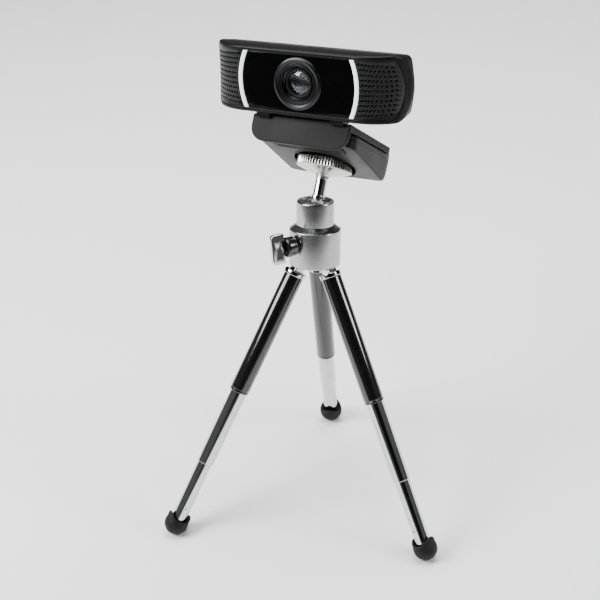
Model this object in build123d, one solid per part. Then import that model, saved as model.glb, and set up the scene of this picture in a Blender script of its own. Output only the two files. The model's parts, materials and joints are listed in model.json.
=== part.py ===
from build123d import *
from math import cos, sin, pi, radians, sqrt
import os

# A webcam screwed to a small ball-head tripod. Millimetres, +Z up, the feet stand on z = 0.
# The pieces are drawn in the head's own frame (head axis upright) and are then stood on the feet.

# Running clearances
gap = 0.3  # between pieces that move past each other
run_fit = 0.1  # radial, telescoping tubes and screws
pin_fit = 0.05  # radial, hinge pins and the ball
seam = 0.1  # between fixed panels that lie side by side

# Legs: splay from the head axis, turn of the rear leg, and the hinge at the top of each
leg_splay = 26.3
rear_leg_azimuth = 107.8
leg_pin_radius = 1.0
fork_radius = 2.2
fork_ear = 1.5
tongue_thickness = 2.2
collar_over_tube = 0.45
collar_height = 2.2
plug_length = 5.0
tube_radius = 4.65
tube_wall = 0.5
tube_length = 61.0
mid_wall = 0.4
mid_out_front = 38.3
mid_out_rear = 20.8
mid_inside_front = 19.0
low_wall = 0.5
low_out_front = 33.2  # mid tube's end to the foot's centre
low_out_rear = 23.8
low_inside_front = 20.0
tube_end_curl = 0.25
dimple_radius = 0.9
dimple_height = 2.6
foot_radius = 5.7
foot_flat_depth = 0.15
foot_neck_wall = 1.05
foot_neck_height = 6.4
foot_socket_depth = 3.0

# Head, from the ball's socket outwards and from its lower rim upwards
ball_radius = 6.2
lip_height = 2.8  # the socket lip above the ball's centre
cap_wall = 1.6
cap_shoulder = 0.55  # the cap stands this far over its spigot
cap_rim_round = 0.9
mouth_flare = 1.7
head_wall = 3.25  # lower barrel over the upper one
head_edge = 0.5
head_skirt_wall = 1.0
leg_pivot_inset = 4.3  # from the head's side
head_bottom = 137.8
leg_pivot_rise = 0.2
yoke_recess = 3.2
yoke_thickness = 5.4
spigot_lift = 4.6  # above the yoke
shoulder_lift = 8.3
shoulder_slope = 1.8
cap_top_lift = 21.6
ball_lift = 16.2
yoke_screw_radius = 1.0
yoke_screw_head_radius = 1.8
yoke_screw_head_height = 1.0
yoke_screw_circle = 8.6
yoke_screw_length = 9.0
seat_top_drop = 2.4  # below the ball's centre
seat_taper_height = 5.6
seat_foot_radius = 3.0

# Stem and camera screw, measured up the stem from the ball's centre
stem_lean = 24.0
stem_radius = 2.8
stem_length = 15.8
stem_collar_radius = 3.2
stem_collar_height = 1.2
camera_screw_radius = 3.175
camera_screw_shank_radius = 2.0
camera_screw_shank = 8.0

# Clamp knob in the side of the head
knob_azimuth = -112.6
clamp_screw_radius = 2.0
clamp_screw_inside = 3.3  # its tip lies this far inside the head's side
plunger_radius = 1.9
plunger_length = 2.4
hub_radius = 4.6
hub_length = 5.8
hub_flare = 1.2
wing_width = 14.0
wing_reach = 10.0
wing_thickness = 2.0
wing_sunk = 2.6
wing_corner = 2.0
wing_turn = 8.0

# Lock wheel under the clip
wheel_radius = 13.0
wheel_above_stem = 1.1
wheel_cone_height = 2.8
wheel_rim_height = 4.2
wheel_hub_radius = 4.2
wheel_ribs = 48
wheel_rib_depth = 0.35
wheel_rim_margin = 0.8
wheel_pad_thickness = 0.9
wheel_pad_sunk = 0.4

# Clip foot, in the clip frame: y runs back along the shelf, z along the stem
foot_front = -27.0
foot_back = 20.0
foot_half_width = 24.0
foot_height = 12.5  # at the back
foot_knee = 14.0  # in front of this the underside slopes up
foot_slope = 9.8
foot_wall = 1.8
foot_corner = 6.0
foot_back_round = 5.0
foot_cover_thickness = 1.6
recess_margin = 1.5  # round the wheel
recess_depth = 4.8
recess_roof_thickness = 1.6
insert_radius = 4.75
insert_length = 5.6
insert_boss_wall = 2.25
under_pad_front = 39.0  # in front of the knee, along the slope
under_pad_back = 30.5
under_pad_half_width = 18.0
under_pad_proud = 0.5
under_pad_sunk = 0.5
under_pad_corner = 2.0

# Clip shelf with its lip, and the fold hinge at its back
shelf_gap = 0.5
shelf_thickness = 3.0
shelf_overhang = 4.6  # in front of the foot
shelf_edge = 0.8
lip_thickness = 2.2
lip_drop = 9.0
lip_corner = 6.5
lip_pad_thickness = 1.0
lip_pad_drop = 1.4
lip_pad_height = 6.2
lip_pad_corner = 1.5
fold_pivot_inset = 2.0
fold_pivot_drop = 0.7  # below the foot's top
fold_knuckle_radius = 3.2
fold_knuckle_half = 13.6
fold_pin_radius = 1.25
fold_pin_inset = 2.5

# Tilt hinge between the shelf and the webcam
tilt_now = 26.4  # webcam's forward tilt from the shelf
tilt_pivot_rise = 6.0  # above the shelf
tilt_pivot_inset = 2.4  # behind the shelf's front
tilt_arm_width = 5.2
tilt_arm_radius = 2.2
tilt_pin_radius = 1.0
tilt_pin_proud = 0.5
tilt_block_half = 15.0
tilt_block_radius = 2.3
tilt_block_foot = 3.0
pivot_back = 8.3  # behind the webcam's face
pivot_rise = 3.2  # above the webcam's underside
pocket_play = 0.4
pocket_front = 1.3  # wall left in front of the arm's pocket
pocket_sill = 1.2

# Webcam, in its own frame: the lens axis is y, the face lies on y = 0
cam_half_width = 47.5
cam_half_height = 14.5
cam_depth = 24.0
cam_flat_half = 26.0  # flat part of the face
cam_tip_back = 18.0  # the wing tips lie this far behind the face
cam_back_inset = 13.5
cam_end_bulge = 2.6
cam_corner = 3.4
cam_back_slope = 3.1
cam_taper_start = 10.0
cam_seam = 12.5
cam_wall = 1.6
bezel = 1.9
window_ledge = 0.6
arc_radius = 30.7
arc_centre = 2.4
arc_width = 1.9
arc_depth = 1.9
face_thickness = 1.4
face_sunk = 0.1
grille_sunk = 0.3
grille_thickness = 1.0
grille_rows = 11
grille_columns = 9
grille_first_column = 1.7
grille_hole_radius = 0.5
grille_row_narrowing = 0.01

# Lens and electronics
lens_ring_proud = 0.6
lens_ring_depth = 3.0
lens_ring_edge = 0.5
lens_cone_radius = 8.2
lens_cone_depth = 2.2
barrel_radius = 6.4
barrel_front = 1.2
barrel_back = 9.0
glass_radius = 4.9
glass_front = 2.0
glass_thickness = 1.2
glass_bulge = 0.6
inner_lens_radius = 3.6
inner_lens_front = 5.0
inner_lens_thickness = 1.8
holder_half = 8.0
holder_front = 7.0
holder_back = 11.0
sensor_board_half_width = 11.0
sensor_board_half_height = 7.4
sensor_board_thickness = 1.0
chip_half = 4.0
chip_thickness = 0.9
connector_half_width = 7.0
connector_half_height = 1.8
board_back_space = 9.0
board_thickness = 1.6
board_end_space = 8.5
board_boss_inset = 3.5
board_boss_radius = 2.0
board_screw_radius = 0.8
board_screw_head = 1.5
board_screw_head_height = 0.8
board_screw_length = 4.6
mic_inset = 8.0
mic_radius = 2.2
mic_height = 1.4
led_half_width = 0.9
led_half_height = 1.4
led_depth = 1.1
led_rise = 3.6
case_screw_x = 29.0
case_screw_inset = 5.1
case_screw_radius = 0.9
case_screw_head = 1.7
case_screw_head_height = 1.2
case_screw_sunk = 3.0
case_screw_length = 14.5
case_boss_radius = 2.2
cable_radius = 2.1
cable_bush_wall = 1.5
cable_bush_flange = 1.0
cable_bush_length = 5.0
cable_bush_proud = 1.6

# Sizes that follow from the ones above
mid_radius = tube_radius - tube_wall - run_fit
low_radius = mid_radius - mid_wall - run_fit
collar_radius = tube_radius + collar_over_tube
foot_neck_radius = low_radius + foot_neck_wall
mid_length = mid_inside_front + mid_out_front
low_length = low_inside_front + low_out_front
fork_half = tongue_thickness / 2 + gap + fork_ear

socket_bore = ball_radius + gap
cap_spigot_radius = socket_bore + cap_wall
cap_radius = cap_spigot_radius + cap_shoulder
head_radius = cap_radius + head_wall
lip_radius = sqrt((ball_radius + pin_fit) ** 2 - lip_height**2)
yoke_bottom = head_bottom + yoke_recess
yoke_top = yoke_bottom + yoke_thickness
cap_spigot_bottom = yoke_top + spigot_lift
head_shoulder = yoke_top + shoulder_lift
head_shoulder_top = head_shoulder + shoulder_slope
cap_top = yoke_top + cap_top_lift
ball_height = yoke_top + ball_lift
leg_pivot_height = head_bottom + leg_pivot_rise
leg_pivot_radius = head_radius - leg_pivot_inset
collar_drop = (collar_radius * sin(radians(leg_splay)) + leg_pivot_rise + 0.4) / cos(radians(leg_splay))
tube_start = collar_drop + collar_height
tube_end = tube_start + tube_length
knob_height = yoke_top + plunger_radius + gap
clamp_screw_start = head_radius - clamp_screw_inside

stem_collar_start = ball_radius - 0.5
wheel_bottom = stem_length + wheel_above_stem
wheel_rim_bottom = wheel_bottom + wheel_cone_height
wheel_top = wheel_rim_bottom + wheel_rim_height
wheel_pad_radius = wheel_radius - wheel_rim_margin
recess_radius = wheel_radius + recess_margin
recess_roof = wheel_top + wheel_pad_thickness - wheel_pad_sunk + gap
foot_bottom = recess_roof - recess_depth
foot_top = foot_bottom + foot_height
insert_boss_radius = insert_radius + insert_boss_wall
camera_screw_length = recess_roof + insert_length - stem_length - gap
foot_knuckle_half = foot_half_width - fold_pin_inset
fold_pivot_y = foot_back - fold_pivot_inset
fold_pivot_z = foot_top - fold_pivot_drop
shelf_bottom = foot_top + shelf_gap
shelf_front = foot_front - shelf_overhang
lip_bottom = shelf_bottom - lip_drop
lip_pad_half_width = foot_half_width - lip_corner - seam
tilt_arm_inner = tilt_block_half + gap
tilt_arm_outer = tilt_arm_inner + tilt_arm_width
tilt_pin_half = tilt_arm_outer + tilt_pin_proud
tilt_pivot_y = shelf_front + tilt_pivot_inset
tilt_pivot_z = shelf_bottom + shelf_thickness + tilt_pivot_rise

pivot_drop = cam_half_height - pivot_rise
holder_low = min(holder_half - 1, pivot_drop - tilt_block_radius - gap)
window_half_height = cam_half_height - bezel
lens_ring_radius = window_half_height - window_ledge - gap
board_front = cam_depth - board_back_space
board_half_width = cam_half_width - board_end_space
case_screw_z = cam_half_height - case_screw_inset
led_height = min(led_rise, case_screw_z - case_boss_radius - led_half_height - gap)
board_half_height = case_screw_z - case_boss_radius - 2 * seam
board_boss_x = board_half_width - board_boss_inset
mic_x = board_half_width - mic_inset
grille_reach = cam_half_width - bezel - (arc_radius - arc_centre + arc_width / 2)
grille_column_pitch = (grille_reach - 1.4 * grille_first_column) / grille_columns
grille_pitch = (2 * window_half_height - 2 * grille_hole_radius) / grille_rows
cable_bush_radius = cable_radius + cable_bush_wall
legs = {
    "left": dict(azimuth=rear_leg_azimuth + 120, mid=mid_out_front, low=low_out_front),
    "right": dict(azimuth=rear_leg_azimuth - 120, mid=mid_out_front, low=low_out_front),
    "rear": dict(azimuth=rear_leg_azimuth, mid=mid_out_rear, low=low_out_rear),
}


def round_x(x0, x1, radius):
    """A cylinder along X from x0 to x1, centred on y = z = 0."""
    return Pos((x0 + x1) / 2, 0, 0) * Rot(0, 90, 0) * Cylinder(radius, x1 - x0)


def round_y(y0, y1, radius):
    """A cylinder along Y from y0 to y1, centred on x = z = 0."""
    return Pos(0, (y0 + y1) / 2, 0) * Rot(90, 0, 0) * Cylinder(radius, y1 - y0)


def round_z(z0, z1, radius):
    """A cylinder along Z from z0 to z1, centred on x = y = 0."""
    return Pos(0, 0, (z0 + z1) / 2) * Cylinder(radius, z1 - z0)


def block(x0, x1, y0, y1, z0, z1):
    """A box between two corners."""
    return Pos((x0 + x1) / 2, (y0 + y1) / 2, (z0 + z1) / 2) * Box(x1 - x0, y1 - y0, z1 - z0)


def turned(*points):
    """A solid turned about Z from (radius, height) points."""
    return revolve(Plane.XZ * make_face(Polyline(*points, close=True)), Axis.Z)


def radial(azimuth):
    """Unit vector away from the head axis."""
    return Vector(cos(radians(azimuth)), sin(radians(azimuth)), 0)


def leg_plane(azimuth):
    """Origin on the leg's hinge, z up along the leg, y along the hinge pin."""
    outward = radial(azimuth)
    up = Vector(0, 0, 1)
    along = up * cos(radians(leg_splay)) - outward * sin(radians(leg_splay))
    across = outward * cos(radians(leg_splay)) + up * sin(radians(leg_splay))
    return Plane(outward * leg_pivot_radius + up * leg_pivot_height, x_dir=across, z_dir=along)


def upright_leg_plane(azimuth):
    """As leg_plane, with z along the head axis."""
    outward = radial(azimuth)
    return Plane(outward * leg_pivot_radius + Vector(0, 0, leg_pivot_height), x_dir=outward)


def foot_centre(leg):
    """Centre of a leg's ball foot in the head frame."""
    plane = leg_plane(leg["azimuth"])
    return plane.origin - plane.z_dir * (tube_end + leg["mid"] + leg["low"])


def ground_plane():
    """The plane that the three ball feet stand on, with y towards the webcam's back."""
    feet = [foot_centre(leg) for leg in legs.values()]
    normal = (feet[1] - feet[0]).cross(feet[2] - feet[0])
    normal = normal.normalized() if normal.Z > 0 else -normal.normalized()
    middle = (feet[0] + feet[1] + feet[2]) / 3 - normal * (foot_radius - foot_flat_depth)
    across = Vector(1, 0, 0) - normal * normal.X
    return Plane(middle, x_dir=across, z_dir=normal)


ground = ground_plane()
stem_up = Vector(0, sin(radians(stem_lean)), cos(radians(stem_lean)))
clip_plane = Plane((0, 0, ball_height), x_dir=(1, 0, 0), z_dir=stem_up)
cam_lean = radians(tilt_now - stem_lean)
cam_up = Vector(0, -sin(cam_lean), cos(cam_lean))
cam_back = Vector(0, cos(cam_lean), sin(cam_lean))
tilt_pivot = clip_plane.from_local_coords(Vector(0, tilt_pivot_y, tilt_pivot_z))
cam_plane = Plane(tilt_pivot - cam_back * pivot_back + cam_up * pivot_drop, x_dir=(1, 0, 0), z_dir=cam_up)
knob_plane = Plane((0, 0, knob_height), x_dir=(0, 0, 1), z_dir=radial(knob_azimuth))


# ---- Legs


def leg_cap():
    """Chrome collar with a fork that carries the hinge pin, plugged into the tube."""
    half = fork_half
    ears = Rot(90, 0, 0) * Cylinder(fork_radius, 2 * half)
    ears += block(-fork_radius, fork_radius, -half, half, -collar_drop, 0)
    collar = round_z(-collar_drop - collar_height, -collar_drop, collar_radius)
    collar = chamfer(collar.edges().filter_by(GeomType.CIRCLE), tube_end_curl)
    plug = round_z(-tube_start - plug_length, -tube_start, tube_radius - tube_wall)
    slot_half = tongue_thickness / 2 + gap
    slot = block(-collar_radius, collar_radius, -slot_half, slot_half, -collar_drop + gap, fork_radius + 1)
    slot += round_y(-slot_half, slot_half, fork_radius + gap)
    pin_hole = round_y(-half - 1, half + 1, leg_pin_radius + pin_fit)
    return ears + collar + plug - slot - pin_hole


def leg_tube():
    """Black top tube."""
    outer = round_z(-tube_end, -tube_start, tube_radius)
    outer = chamfer(outer.edges().filter_by(GeomType.CIRCLE), tube_end_curl)
    return outer - round_z(-tube_end - 1, -tube_start + 1, tube_radius - tube_wall)


def mid_tube(leg):
    """Middle telescope tube."""
    bottom = -tube_end - leg["mid"]
    outer = round_z(bottom, bottom + mid_length, mid_radius)
    outer = chamfer(outer.edges().filter_by(GeomType.CIRCLE), tube_end_curl / 2)
    return outer - round_z(bottom - 1, bottom + mid_length + 1, mid_radius - mid_wall)


def low_tube(leg):
    """Lower telescope tube, with the dimple that holds the foot on."""
    centre = -tube_end - leg["mid"] - leg["low"]
    tube = round_z(centre + foot_socket_depth, centre + low_length, low_radius)
    tube -= round_z(centre, centre + low_length + 1, low_radius - low_wall)
    dimple = centre + foot_neck_height + dimple_height
    for side in (-1, 1):
        tube -= Pos(0, side * low_radius, dimple) * Rot(90, 0, 0) * Cylinder(dimple_radius, low_wall)
    return tube


def rubber_foot(leg):
    """Rubber ball foot, flat where it meets the ground, with a neck over the tube."""
    centre = Pos(0, 0, -tube_end - leg["mid"] - leg["low"])
    foot = Sphere(foot_radius) + round_z(0, foot_neck_height, foot_neck_radius)
    foot -= round_z(foot_socket_depth, foot_neck_height + 1, low_radius)
    plane = leg_plane(leg["azimuth"])
    local_down = plane.to_local_coords(plane.origin - ground.z_dir)
    floor_plane = Plane(Vector(*local_down) * (foot_radius - foot_flat_depth), z_dir=Vector(*local_down))
    foot -= floor_plane * (Pos(0, 0, foot_radius) * Box(4 * foot_radius, 4 * foot_radius, 2 * foot_radius))
    return centre * foot


# ---- Head


def head_body():
    """Lower barrel: skirt over the leg yoke, bore for the cap, side hole for the clamp screw."""
    body = turned(
        (0, head_bottom),
        (head_radius - head_edge, head_bottom),
        (head_radius, head_bottom + head_edge),
        (head_radius, head_shoulder),
        (cap_radius + head_edge, head_shoulder_top),
        (0, head_shoulder_top),
    )
    body -= round_z(head_bottom - 1, yoke_top, head_radius - head_skirt_wall)
    body -= round_z(yoke_top - 1, cap_spigot_bottom + 1, socket_bore)
    body -= round_z(cap_spigot_bottom, head_shoulder_top + 1, cap_spigot_radius)
    body -= knob_plane * round_z(0, head_radius + 1, clamp_screw_radius + run_fit)
    for turn in yoke_screw_turns():
        seat = Pos(*(radial(turn) * yoke_screw_circle))
        body -= seat * round_z(yoke_top - 1, yoke_bottom + yoke_screw_length, yoke_screw_radius)
    return body


def head_cap():
    """Upper barrel, screwed into the lower one, with the lip that holds the ball."""
    cap = turned(
        (0, cap_spigot_bottom),
        (cap_spigot_radius, cap_spigot_bottom),
        (cap_spigot_radius, head_shoulder_top),
        (cap_radius, head_shoulder_top),
        (cap_radius, cap_top),
        (0, cap_top),
    )
    rim = cap.edges().filter_by(GeomType.CIRCLE).group_by(Axis.Z)[-1]
    cap = fillet(rim, cap_rim_round)
    cap -= round_z(cap_spigot_bottom - 1, ball_height, socket_bore)
    lip_plane = ball_height + lip_height
    cap -= Pos(0, 0, ball_height) * Sphere(ball_radius + pin_fit)
    mouth = lip_radius + mouth_flare
    low = lip_plane - 1
    return cap - turned((0, low), (lip_radius, low), (lip_radius, lip_plane), (mouth, cap_top), (0, cap_top))


def yoke_screw_turns():
    """Azimuths of the yoke screws, between the legs."""
    return [leg["azimuth"] + 60 for leg in legs.values()]


def leg_yoke():
    """Cast plate inside the skirt, with a tongue for each leg's fork."""
    yoke = round_z(yoke_bottom, yoke_top, head_radius - head_skirt_wall)
    half = tongue_thickness / 2
    for leg in legs.values():
        tongue = round_y(-half, half, fork_radius - gap)
        tongue += block(-fork_radius + gap, fork_radius - gap, -half, half, 0, yoke_bottom - leg_pivot_height)
        tongue -= round_y(-half, half, leg_pin_radius)
        yoke += upright_leg_plane(leg["azimuth"]) * tongue
    for turn in yoke_screw_turns():
        seat = Pos(*(radial(turn) * yoke_screw_circle))
        yoke -= seat * round_z(yoke_bottom - 1, yoke_top + 1, yoke_screw_radius)
        yoke -= seat * round_z(yoke_bottom - 1, yoke_bottom + yoke_screw_head_height, yoke_screw_head_radius)
    return yoke


def leg_pins():
    """Three hinge pins, pressed into the yoke's tongues."""
    pin = round_y(-fork_half, fork_half, leg_pin_radius)
    return [upright_leg_plane(leg["azimuth"]) * pin for leg in legs.values()]


def yoke_screws():
    """Three screws that hold the yoke in the head."""
    screw = round_z(yoke_bottom, yoke_bottom + yoke_screw_length, yoke_screw_radius)
    screw += round_z(yoke_bottom, yoke_bottom + yoke_screw_head_height, yoke_screw_head_radius)
    return [Pos(*(radial(turn) * yoke_screw_circle)) * screw for turn in yoke_screw_turns()]


def ball_seat():
    """Cup under the ball; its cone is what the clamp screw's tip presses on."""
    seat = turned(
        (0, yoke_top + run_fit),
        (seat_foot_radius, yoke_top + run_fit),
        (socket_bore - run_fit, yoke_top + seat_taper_height),
        (socket_bore - run_fit, ball_height - seat_top_drop),
        (0, ball_height - seat_top_drop),
    )
    return seat - Pos(0, 0, ball_height) * Sphere(ball_radius + pin_fit)


# ---- Clamp knob, in the knob plane: z runs out from the head axis


def clamp_plunger():
    """Brass tip of the clamp screw, which presses on the seat's cone."""
    back = clamp_screw_start - gap
    return round_z(back - plunger_length, back, plunger_radius)


def clamp_screw():
    """Threaded shank of the knob."""
    return round_z(clamp_screw_start, head_radius + gap + hub_length / 2, clamp_screw_radius)


def knob_hub():
    """Round dark hub."""
    start = head_radius + gap
    hub = turned(
        (0, start),
        (hub_radius - hub_flare, start),
        (hub_radius, start + hub_flare),
        (hub_radius, start + hub_length - hub_flare / 2),
        (hub_radius - hub_flare / 2, start + hub_length),
        (0, start + hub_length),
    )
    hub -= round_z(0, start + hub_length / 2, clamp_screw_radius)
    return hub - wing_blank()


def wing_blank():
    """Outline of the wing, with its root inside the hub."""
    start = head_radius + gap + hub_length - wing_sunk
    half = wing_width / 2
    wing = block(-half, half, -wing_thickness / 2, wing_thickness / 2, start, start + wing_reach)
    ends = wing.edges().filter_by(Axis.Y).group_by(Axis.Z)[-1]
    wing = fillet(ends, wing_corner)
    wing -= block(-half - 1, -hub_radius + wing_thickness, -half, half, start - 1, start + wing_sunk + gap)
    wing -= block(hub_radius - wing_thickness, half + 1, -half, half, start - 1, start + wing_sunk + gap)
    return Rot(0, 0, wing_turn) * wing


# ---- Ball, stem and lock wheel, in the clip frame


def ball():
    """Ball, bored for the stem."""
    return Sphere(ball_radius) - round_z(0, ball_radius + 1, stem_radius)


def stem():
    """Chrome stem with a collar just above the ball."""
    rod = round_z(0, stem_length, stem_radius)
    rod += round_z(stem_collar_start, stem_collar_start + stem_collar_height, stem_collar_radius)
    return rod - round_z(stem_length - camera_screw_shank, stem_length + 1, camera_screw_shank_radius)


def camera_screw():
    """Quarter-inch camera screw, its shank sunk into the stem."""
    thread = round_z(stem_length, stem_length + camera_screw_length, camera_screw_radius)
    thread = chamfer(thread.edges().group_by(Axis.Z)[-1], 0.6)
    return thread + round_z(stem_length - camera_screw_shank, stem_length, camera_screw_shank_radius)


def lock_wheel():
    """Knurled wheel with a conical underside."""
    wheel = turned(
        (0, wheel_bottom),
        (wheel_hub_radius, wheel_bottom),
        (wheel_radius, wheel_rim_bottom),
        (wheel_radius, wheel_top),
        (0, wheel_top),
    )
    for rib in range(wheel_ribs):
        groove = Pos(wheel_radius, 0, (wheel_rim_bottom + wheel_top) / 2)
        wheel -= Rot(0, 0, rib * 360 / wheel_ribs) * groove * Cylinder(wheel_rib_depth, wheel_radius)
    wheel -= round_z(wheel_top - wheel_pad_sunk, wheel_top + 1, wheel_pad_radius)
    return wheel - round_z(wheel_bottom - 1, wheel_top + 1, camera_screw_radius + run_fit)


def wheel_pad():
    """Rubber washer let into the wheel's face."""
    start = wheel_top - wheel_pad_sunk
    pad = round_z(start, start + wheel_pad_thickness, wheel_pad_radius)
    return pad - round_z(start - 1, start + wheel_pad_thickness + 1, camera_screw_radius + gap)


# ---- Clip foot


def foot_outline(inset):
    """The foot's block, drawn in by inset at the sides, the ends and the underside."""
    half = foot_half_width - inset
    body = block(-half, half, foot_front + inset, foot_back - inset, foot_bottom + inset, foot_top)
    body = fillet(body.edges().filter_by(Axis.Z), foot_corner - inset)
    lower_back = body.edges().filter_by(Axis.X).group_by(Axis.Z)[0].sort_by(Axis.Y)[-1]
    body = chamfer(lower_back, foot_back_round - inset)
    lift = inset / cos(radians(foot_slope))
    return body - Pos(0, 0, lift) * foot_underside() * block(-50, 50, -100, 0, -50, 0)


def foot_underside():
    """Location of the underside's knee, its y lying along the slope."""
    return Pos(0, foot_knee, foot_bottom) * Rot(-foot_slope, 0, 0)


def foot_shell():
    """Hollow foot with the wheel's recess, the insert's boss and the fold knuckles."""
    shell = foot_outline(0) - foot_outline(foot_wall)
    roof = recess_roof + recess_roof_thickness
    room = foot_outline(0)
    shell += round_z(foot_bottom, roof, recess_radius + foot_wall) & room
    shell += round_z(recess_roof, foot_top - foot_cover_thickness, insert_boss_radius)
    hinge_block = block(
        -foot_knuckle_half,
        foot_knuckle_half,
        fold_pivot_y - fold_knuckle_radius - foot_wall,
        foot_back - foot_wall / 2,
        fold_pivot_z - fold_knuckle_radius - foot_wall,
        foot_top,
    )
    shell += hinge_block & room
    shell += fold_hinge() * round_x(-foot_knuckle_half, foot_knuckle_half, fold_knuckle_radius)
    slot_half = fold_knuckle_half + gap
    shell -= fold_hinge() * round_x(-slot_half, slot_half, fold_knuckle_radius + gap)
    slot_front = fold_pivot_y - fold_knuckle_radius - gap
    shell -= block(-slot_half, slot_half, slot_front, foot_back + 5, fold_pivot_z, foot_top + 5)
    shell -= fold_hinge() * round_x(-foot_knuckle_half, foot_knuckle_half, fold_pin_radius)
    shell -= round_z(foot_bottom - 1, recess_roof, recess_radius)
    shell -= round_z(recess_roof - 1, recess_roof + insert_length + seam, insert_radius)
    shell -= round_z(recess_roof - 1, foot_top, camera_screw_radius + run_fit)
    return shell - under_pad_blank()


def foot_cover():
    """Plate that closes the foot's top."""
    inset = foot_wall / 2
    cover = foot_outline(inset) & block(-50, 50, -50, 50, foot_top - foot_cover_thickness, foot_top)
    hinge_edge = fold_pivot_y - fold_knuckle_radius - foot_wall
    cover -= block(-50, 50, hinge_edge - seam, 50, foot_top - 10, foot_top + 1)
    return cover - foot_shell()


def thread_insert():
    """Brass insert with the quarter-inch thread."""
    insert = round_z(recess_roof, recess_roof + insert_length, insert_radius)
    return insert - round_z(recess_roof - 1, recess_roof + insert_length + 1, camera_screw_radius + run_fit)


def under_pad_blank():
    """Rubber pad let into the foot's underside, near its front."""
    half = under_pad_half_width
    pad = block(-half, half, -under_pad_front, -under_pad_back, -under_pad_proud, under_pad_sunk)
    return foot_underside() * fillet(pad.edges().filter_by(Axis.Z), under_pad_corner)


def fold_hinge():
    """Location of the fold hinge."""
    return Pos(0, fold_pivot_y, fold_pivot_z)


def fold_pin():
    """Pin of the fold hinge."""
    return fold_hinge() * round_x(-foot_knuckle_half, foot_knuckle_half, fold_pin_radius)


# ---- Clip shelf


def shelf():
    """Shelf with its lip in front, the tilt arms and the fold knuckle at the back."""
    top = shelf_bottom + shelf_thickness
    back = fold_pivot_y - fold_knuckle_radius - gap
    plate = block(-foot_half_width, foot_half_width, shelf_front, back, shelf_bottom, top)
    lip = block(-foot_half_width, foot_half_width, shelf_front, shelf_front + lip_thickness, lip_bottom, top)
    low = lip.edges().filter_by(Axis.Y).group_by(Axis.Z)[0]
    body = plate + fillet(low, lip_corner)
    outer = body.edges().filter_by(Axis.X).group_by(Axis.Z)[-1].sort_by(Axis.Y)[0]
    body = fillet(outer, shelf_edge)
    half = fold_knuckle_half
    body += fold_hinge() * round_x(-half, half, fold_knuckle_radius)
    body += block(-half, half, back - 1, fold_pivot_y, shelf_bottom, fold_pivot_z + fold_knuckle_radius)
    body -= fold_hinge() * round_x(-half - 1, half + 1, fold_pin_radius + pin_fit)
    for side in (-1, 1):
        body += side_arm(side)
    return body - tilt_hinge() * round_x(-tilt_pin_half - 1, tilt_pin_half + 1, tilt_pin_radius + pin_fit)


def side_arm(side):
    """One of the two arms that carry the tilt pin."""
    x0, x1 = sorted((side * tilt_arm_inner, side * tilt_arm_outer))
    arm = tilt_hinge() * round_x(x0, x1, tilt_arm_radius)
    y0 = tilt_pivot_y - tilt_arm_radius
    return arm + block(x0, x1, y0, tilt_pivot_y + tilt_arm_radius, shelf_bottom + 1, tilt_pivot_z)


def tilt_hinge():
    """Location of the tilt hinge in the clip frame."""
    return Pos(0, tilt_pivot_y, tilt_pivot_z)


def lip_pad():
    """Rubber pad on the lip's inner face."""
    inner = shelf_front + lip_thickness
    half = lip_pad_half_width
    high = shelf_bottom - lip_pad_drop
    pad = block(-half, half, inner, inner + lip_pad_thickness, high - lip_pad_height, high)
    return fillet(pad.edges().filter_by(Axis.Y), lip_pad_corner)


# ---- Webcam


def cam_body(inset):
    """The webcam's outer form, drawn in by inset on every side."""
    half = cam_half_width - inset
    front = inset
    back = cam_depth - inset
    tip = cam_tip_back
    back_half = cam_half_width - cam_back_inset
    right = [
        Line((0, front), (cam_flat_half, front)),
        ThreePointArc((cam_flat_half, front), (half - 7.6 + inset / 2, front + 3.9), (half - 1.2, tip - 5.0)),
        ThreePointArc((half - 1.2, tip - 5.0), (half, tip - 2.0), (half - 0.9, tip + 1.0)),
        ThreePointArc((half - 0.9, tip + 1.0), (back_half + 6.5, back - 1.3), (back_half, back)),
        Line((back_half, back), (0, back)),
    ]
    half_face = make_face(Wire(right + [Line((0, back), (0, front))]))
    plan = extrude(half_face, cam_half_height - inset, both=True)
    plan += mirror(plan, Plane.YZ)
    return plan & cam_front_prism(inset) & cam_side_prism(inset)


def cam_front_prism(inset):
    """Front view of the body: straight top and bottom, slightly bulged ends."""
    half = cam_half_width - inset
    high = cam_half_height - inset
    shoulder = half - cam_end_bulge
    right = ThreePointArc((shoulder, high), (half, 0), (shoulder, -high))
    left = ThreePointArc((-shoulder, -high), (-half, 0), (-shoulder, high))
    bottom = Line((shoulder, -high), (-shoulder, -high))
    top = Line((-shoulder, high), (shoulder, high))
    outline = make_face(Wire([right, bottom, left, top]))
    outline = fillet(outline.vertices(), cam_corner - inset / 2)
    return Plane.XZ * extrude(outline, 2 * cam_depth, both=True)


def cam_side_prism(inset):
    """Side view of the body: the back half tapers."""
    high = cam_half_height - inset
    low = cam_half_height - cam_back_slope - inset
    back = cam_depth - inset
    outline = Polyline(
        (-1, high),
        (cam_taper_start, high),
        (back - 2, low + 0.6),
        (back, low - 1.6),
        (back, -low + 1.6),
        (back - 2, -low - 0.6),
        (cam_taper_start, -high),
        (-1, -high),
        close=True,
    )
    return extrude(Plane.YZ * make_face(outline), 60, both=True)


def window_prism(play):
    """The window in the front frame, drawn in by play."""
    inset = bezel + play
    high = window_half_height - play
    return cam_front_prism(inset) & block(-60, 60, -5, cam_seam + 5, -high, high)


def skin(outer, inner):
    """A layer of the webcam's front, between two insets."""
    return (cam_body(outer) - cam_body(inner)) & block(-60, 60, -5, cam_seam, -60, 60)


def arc_band(play):
    """Cylinders that bound the right light arc, as (outer, inner) solids along Y."""
    outer = Pos(-arc_centre, 0, 0) * round_y(-10, 30, arc_radius + arc_width / 2 + play)
    inner = Pos(-arc_centre, 0, 0) * round_y(-10, 30, arc_radius - arc_width / 2 - play)
    return outer, inner


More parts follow.
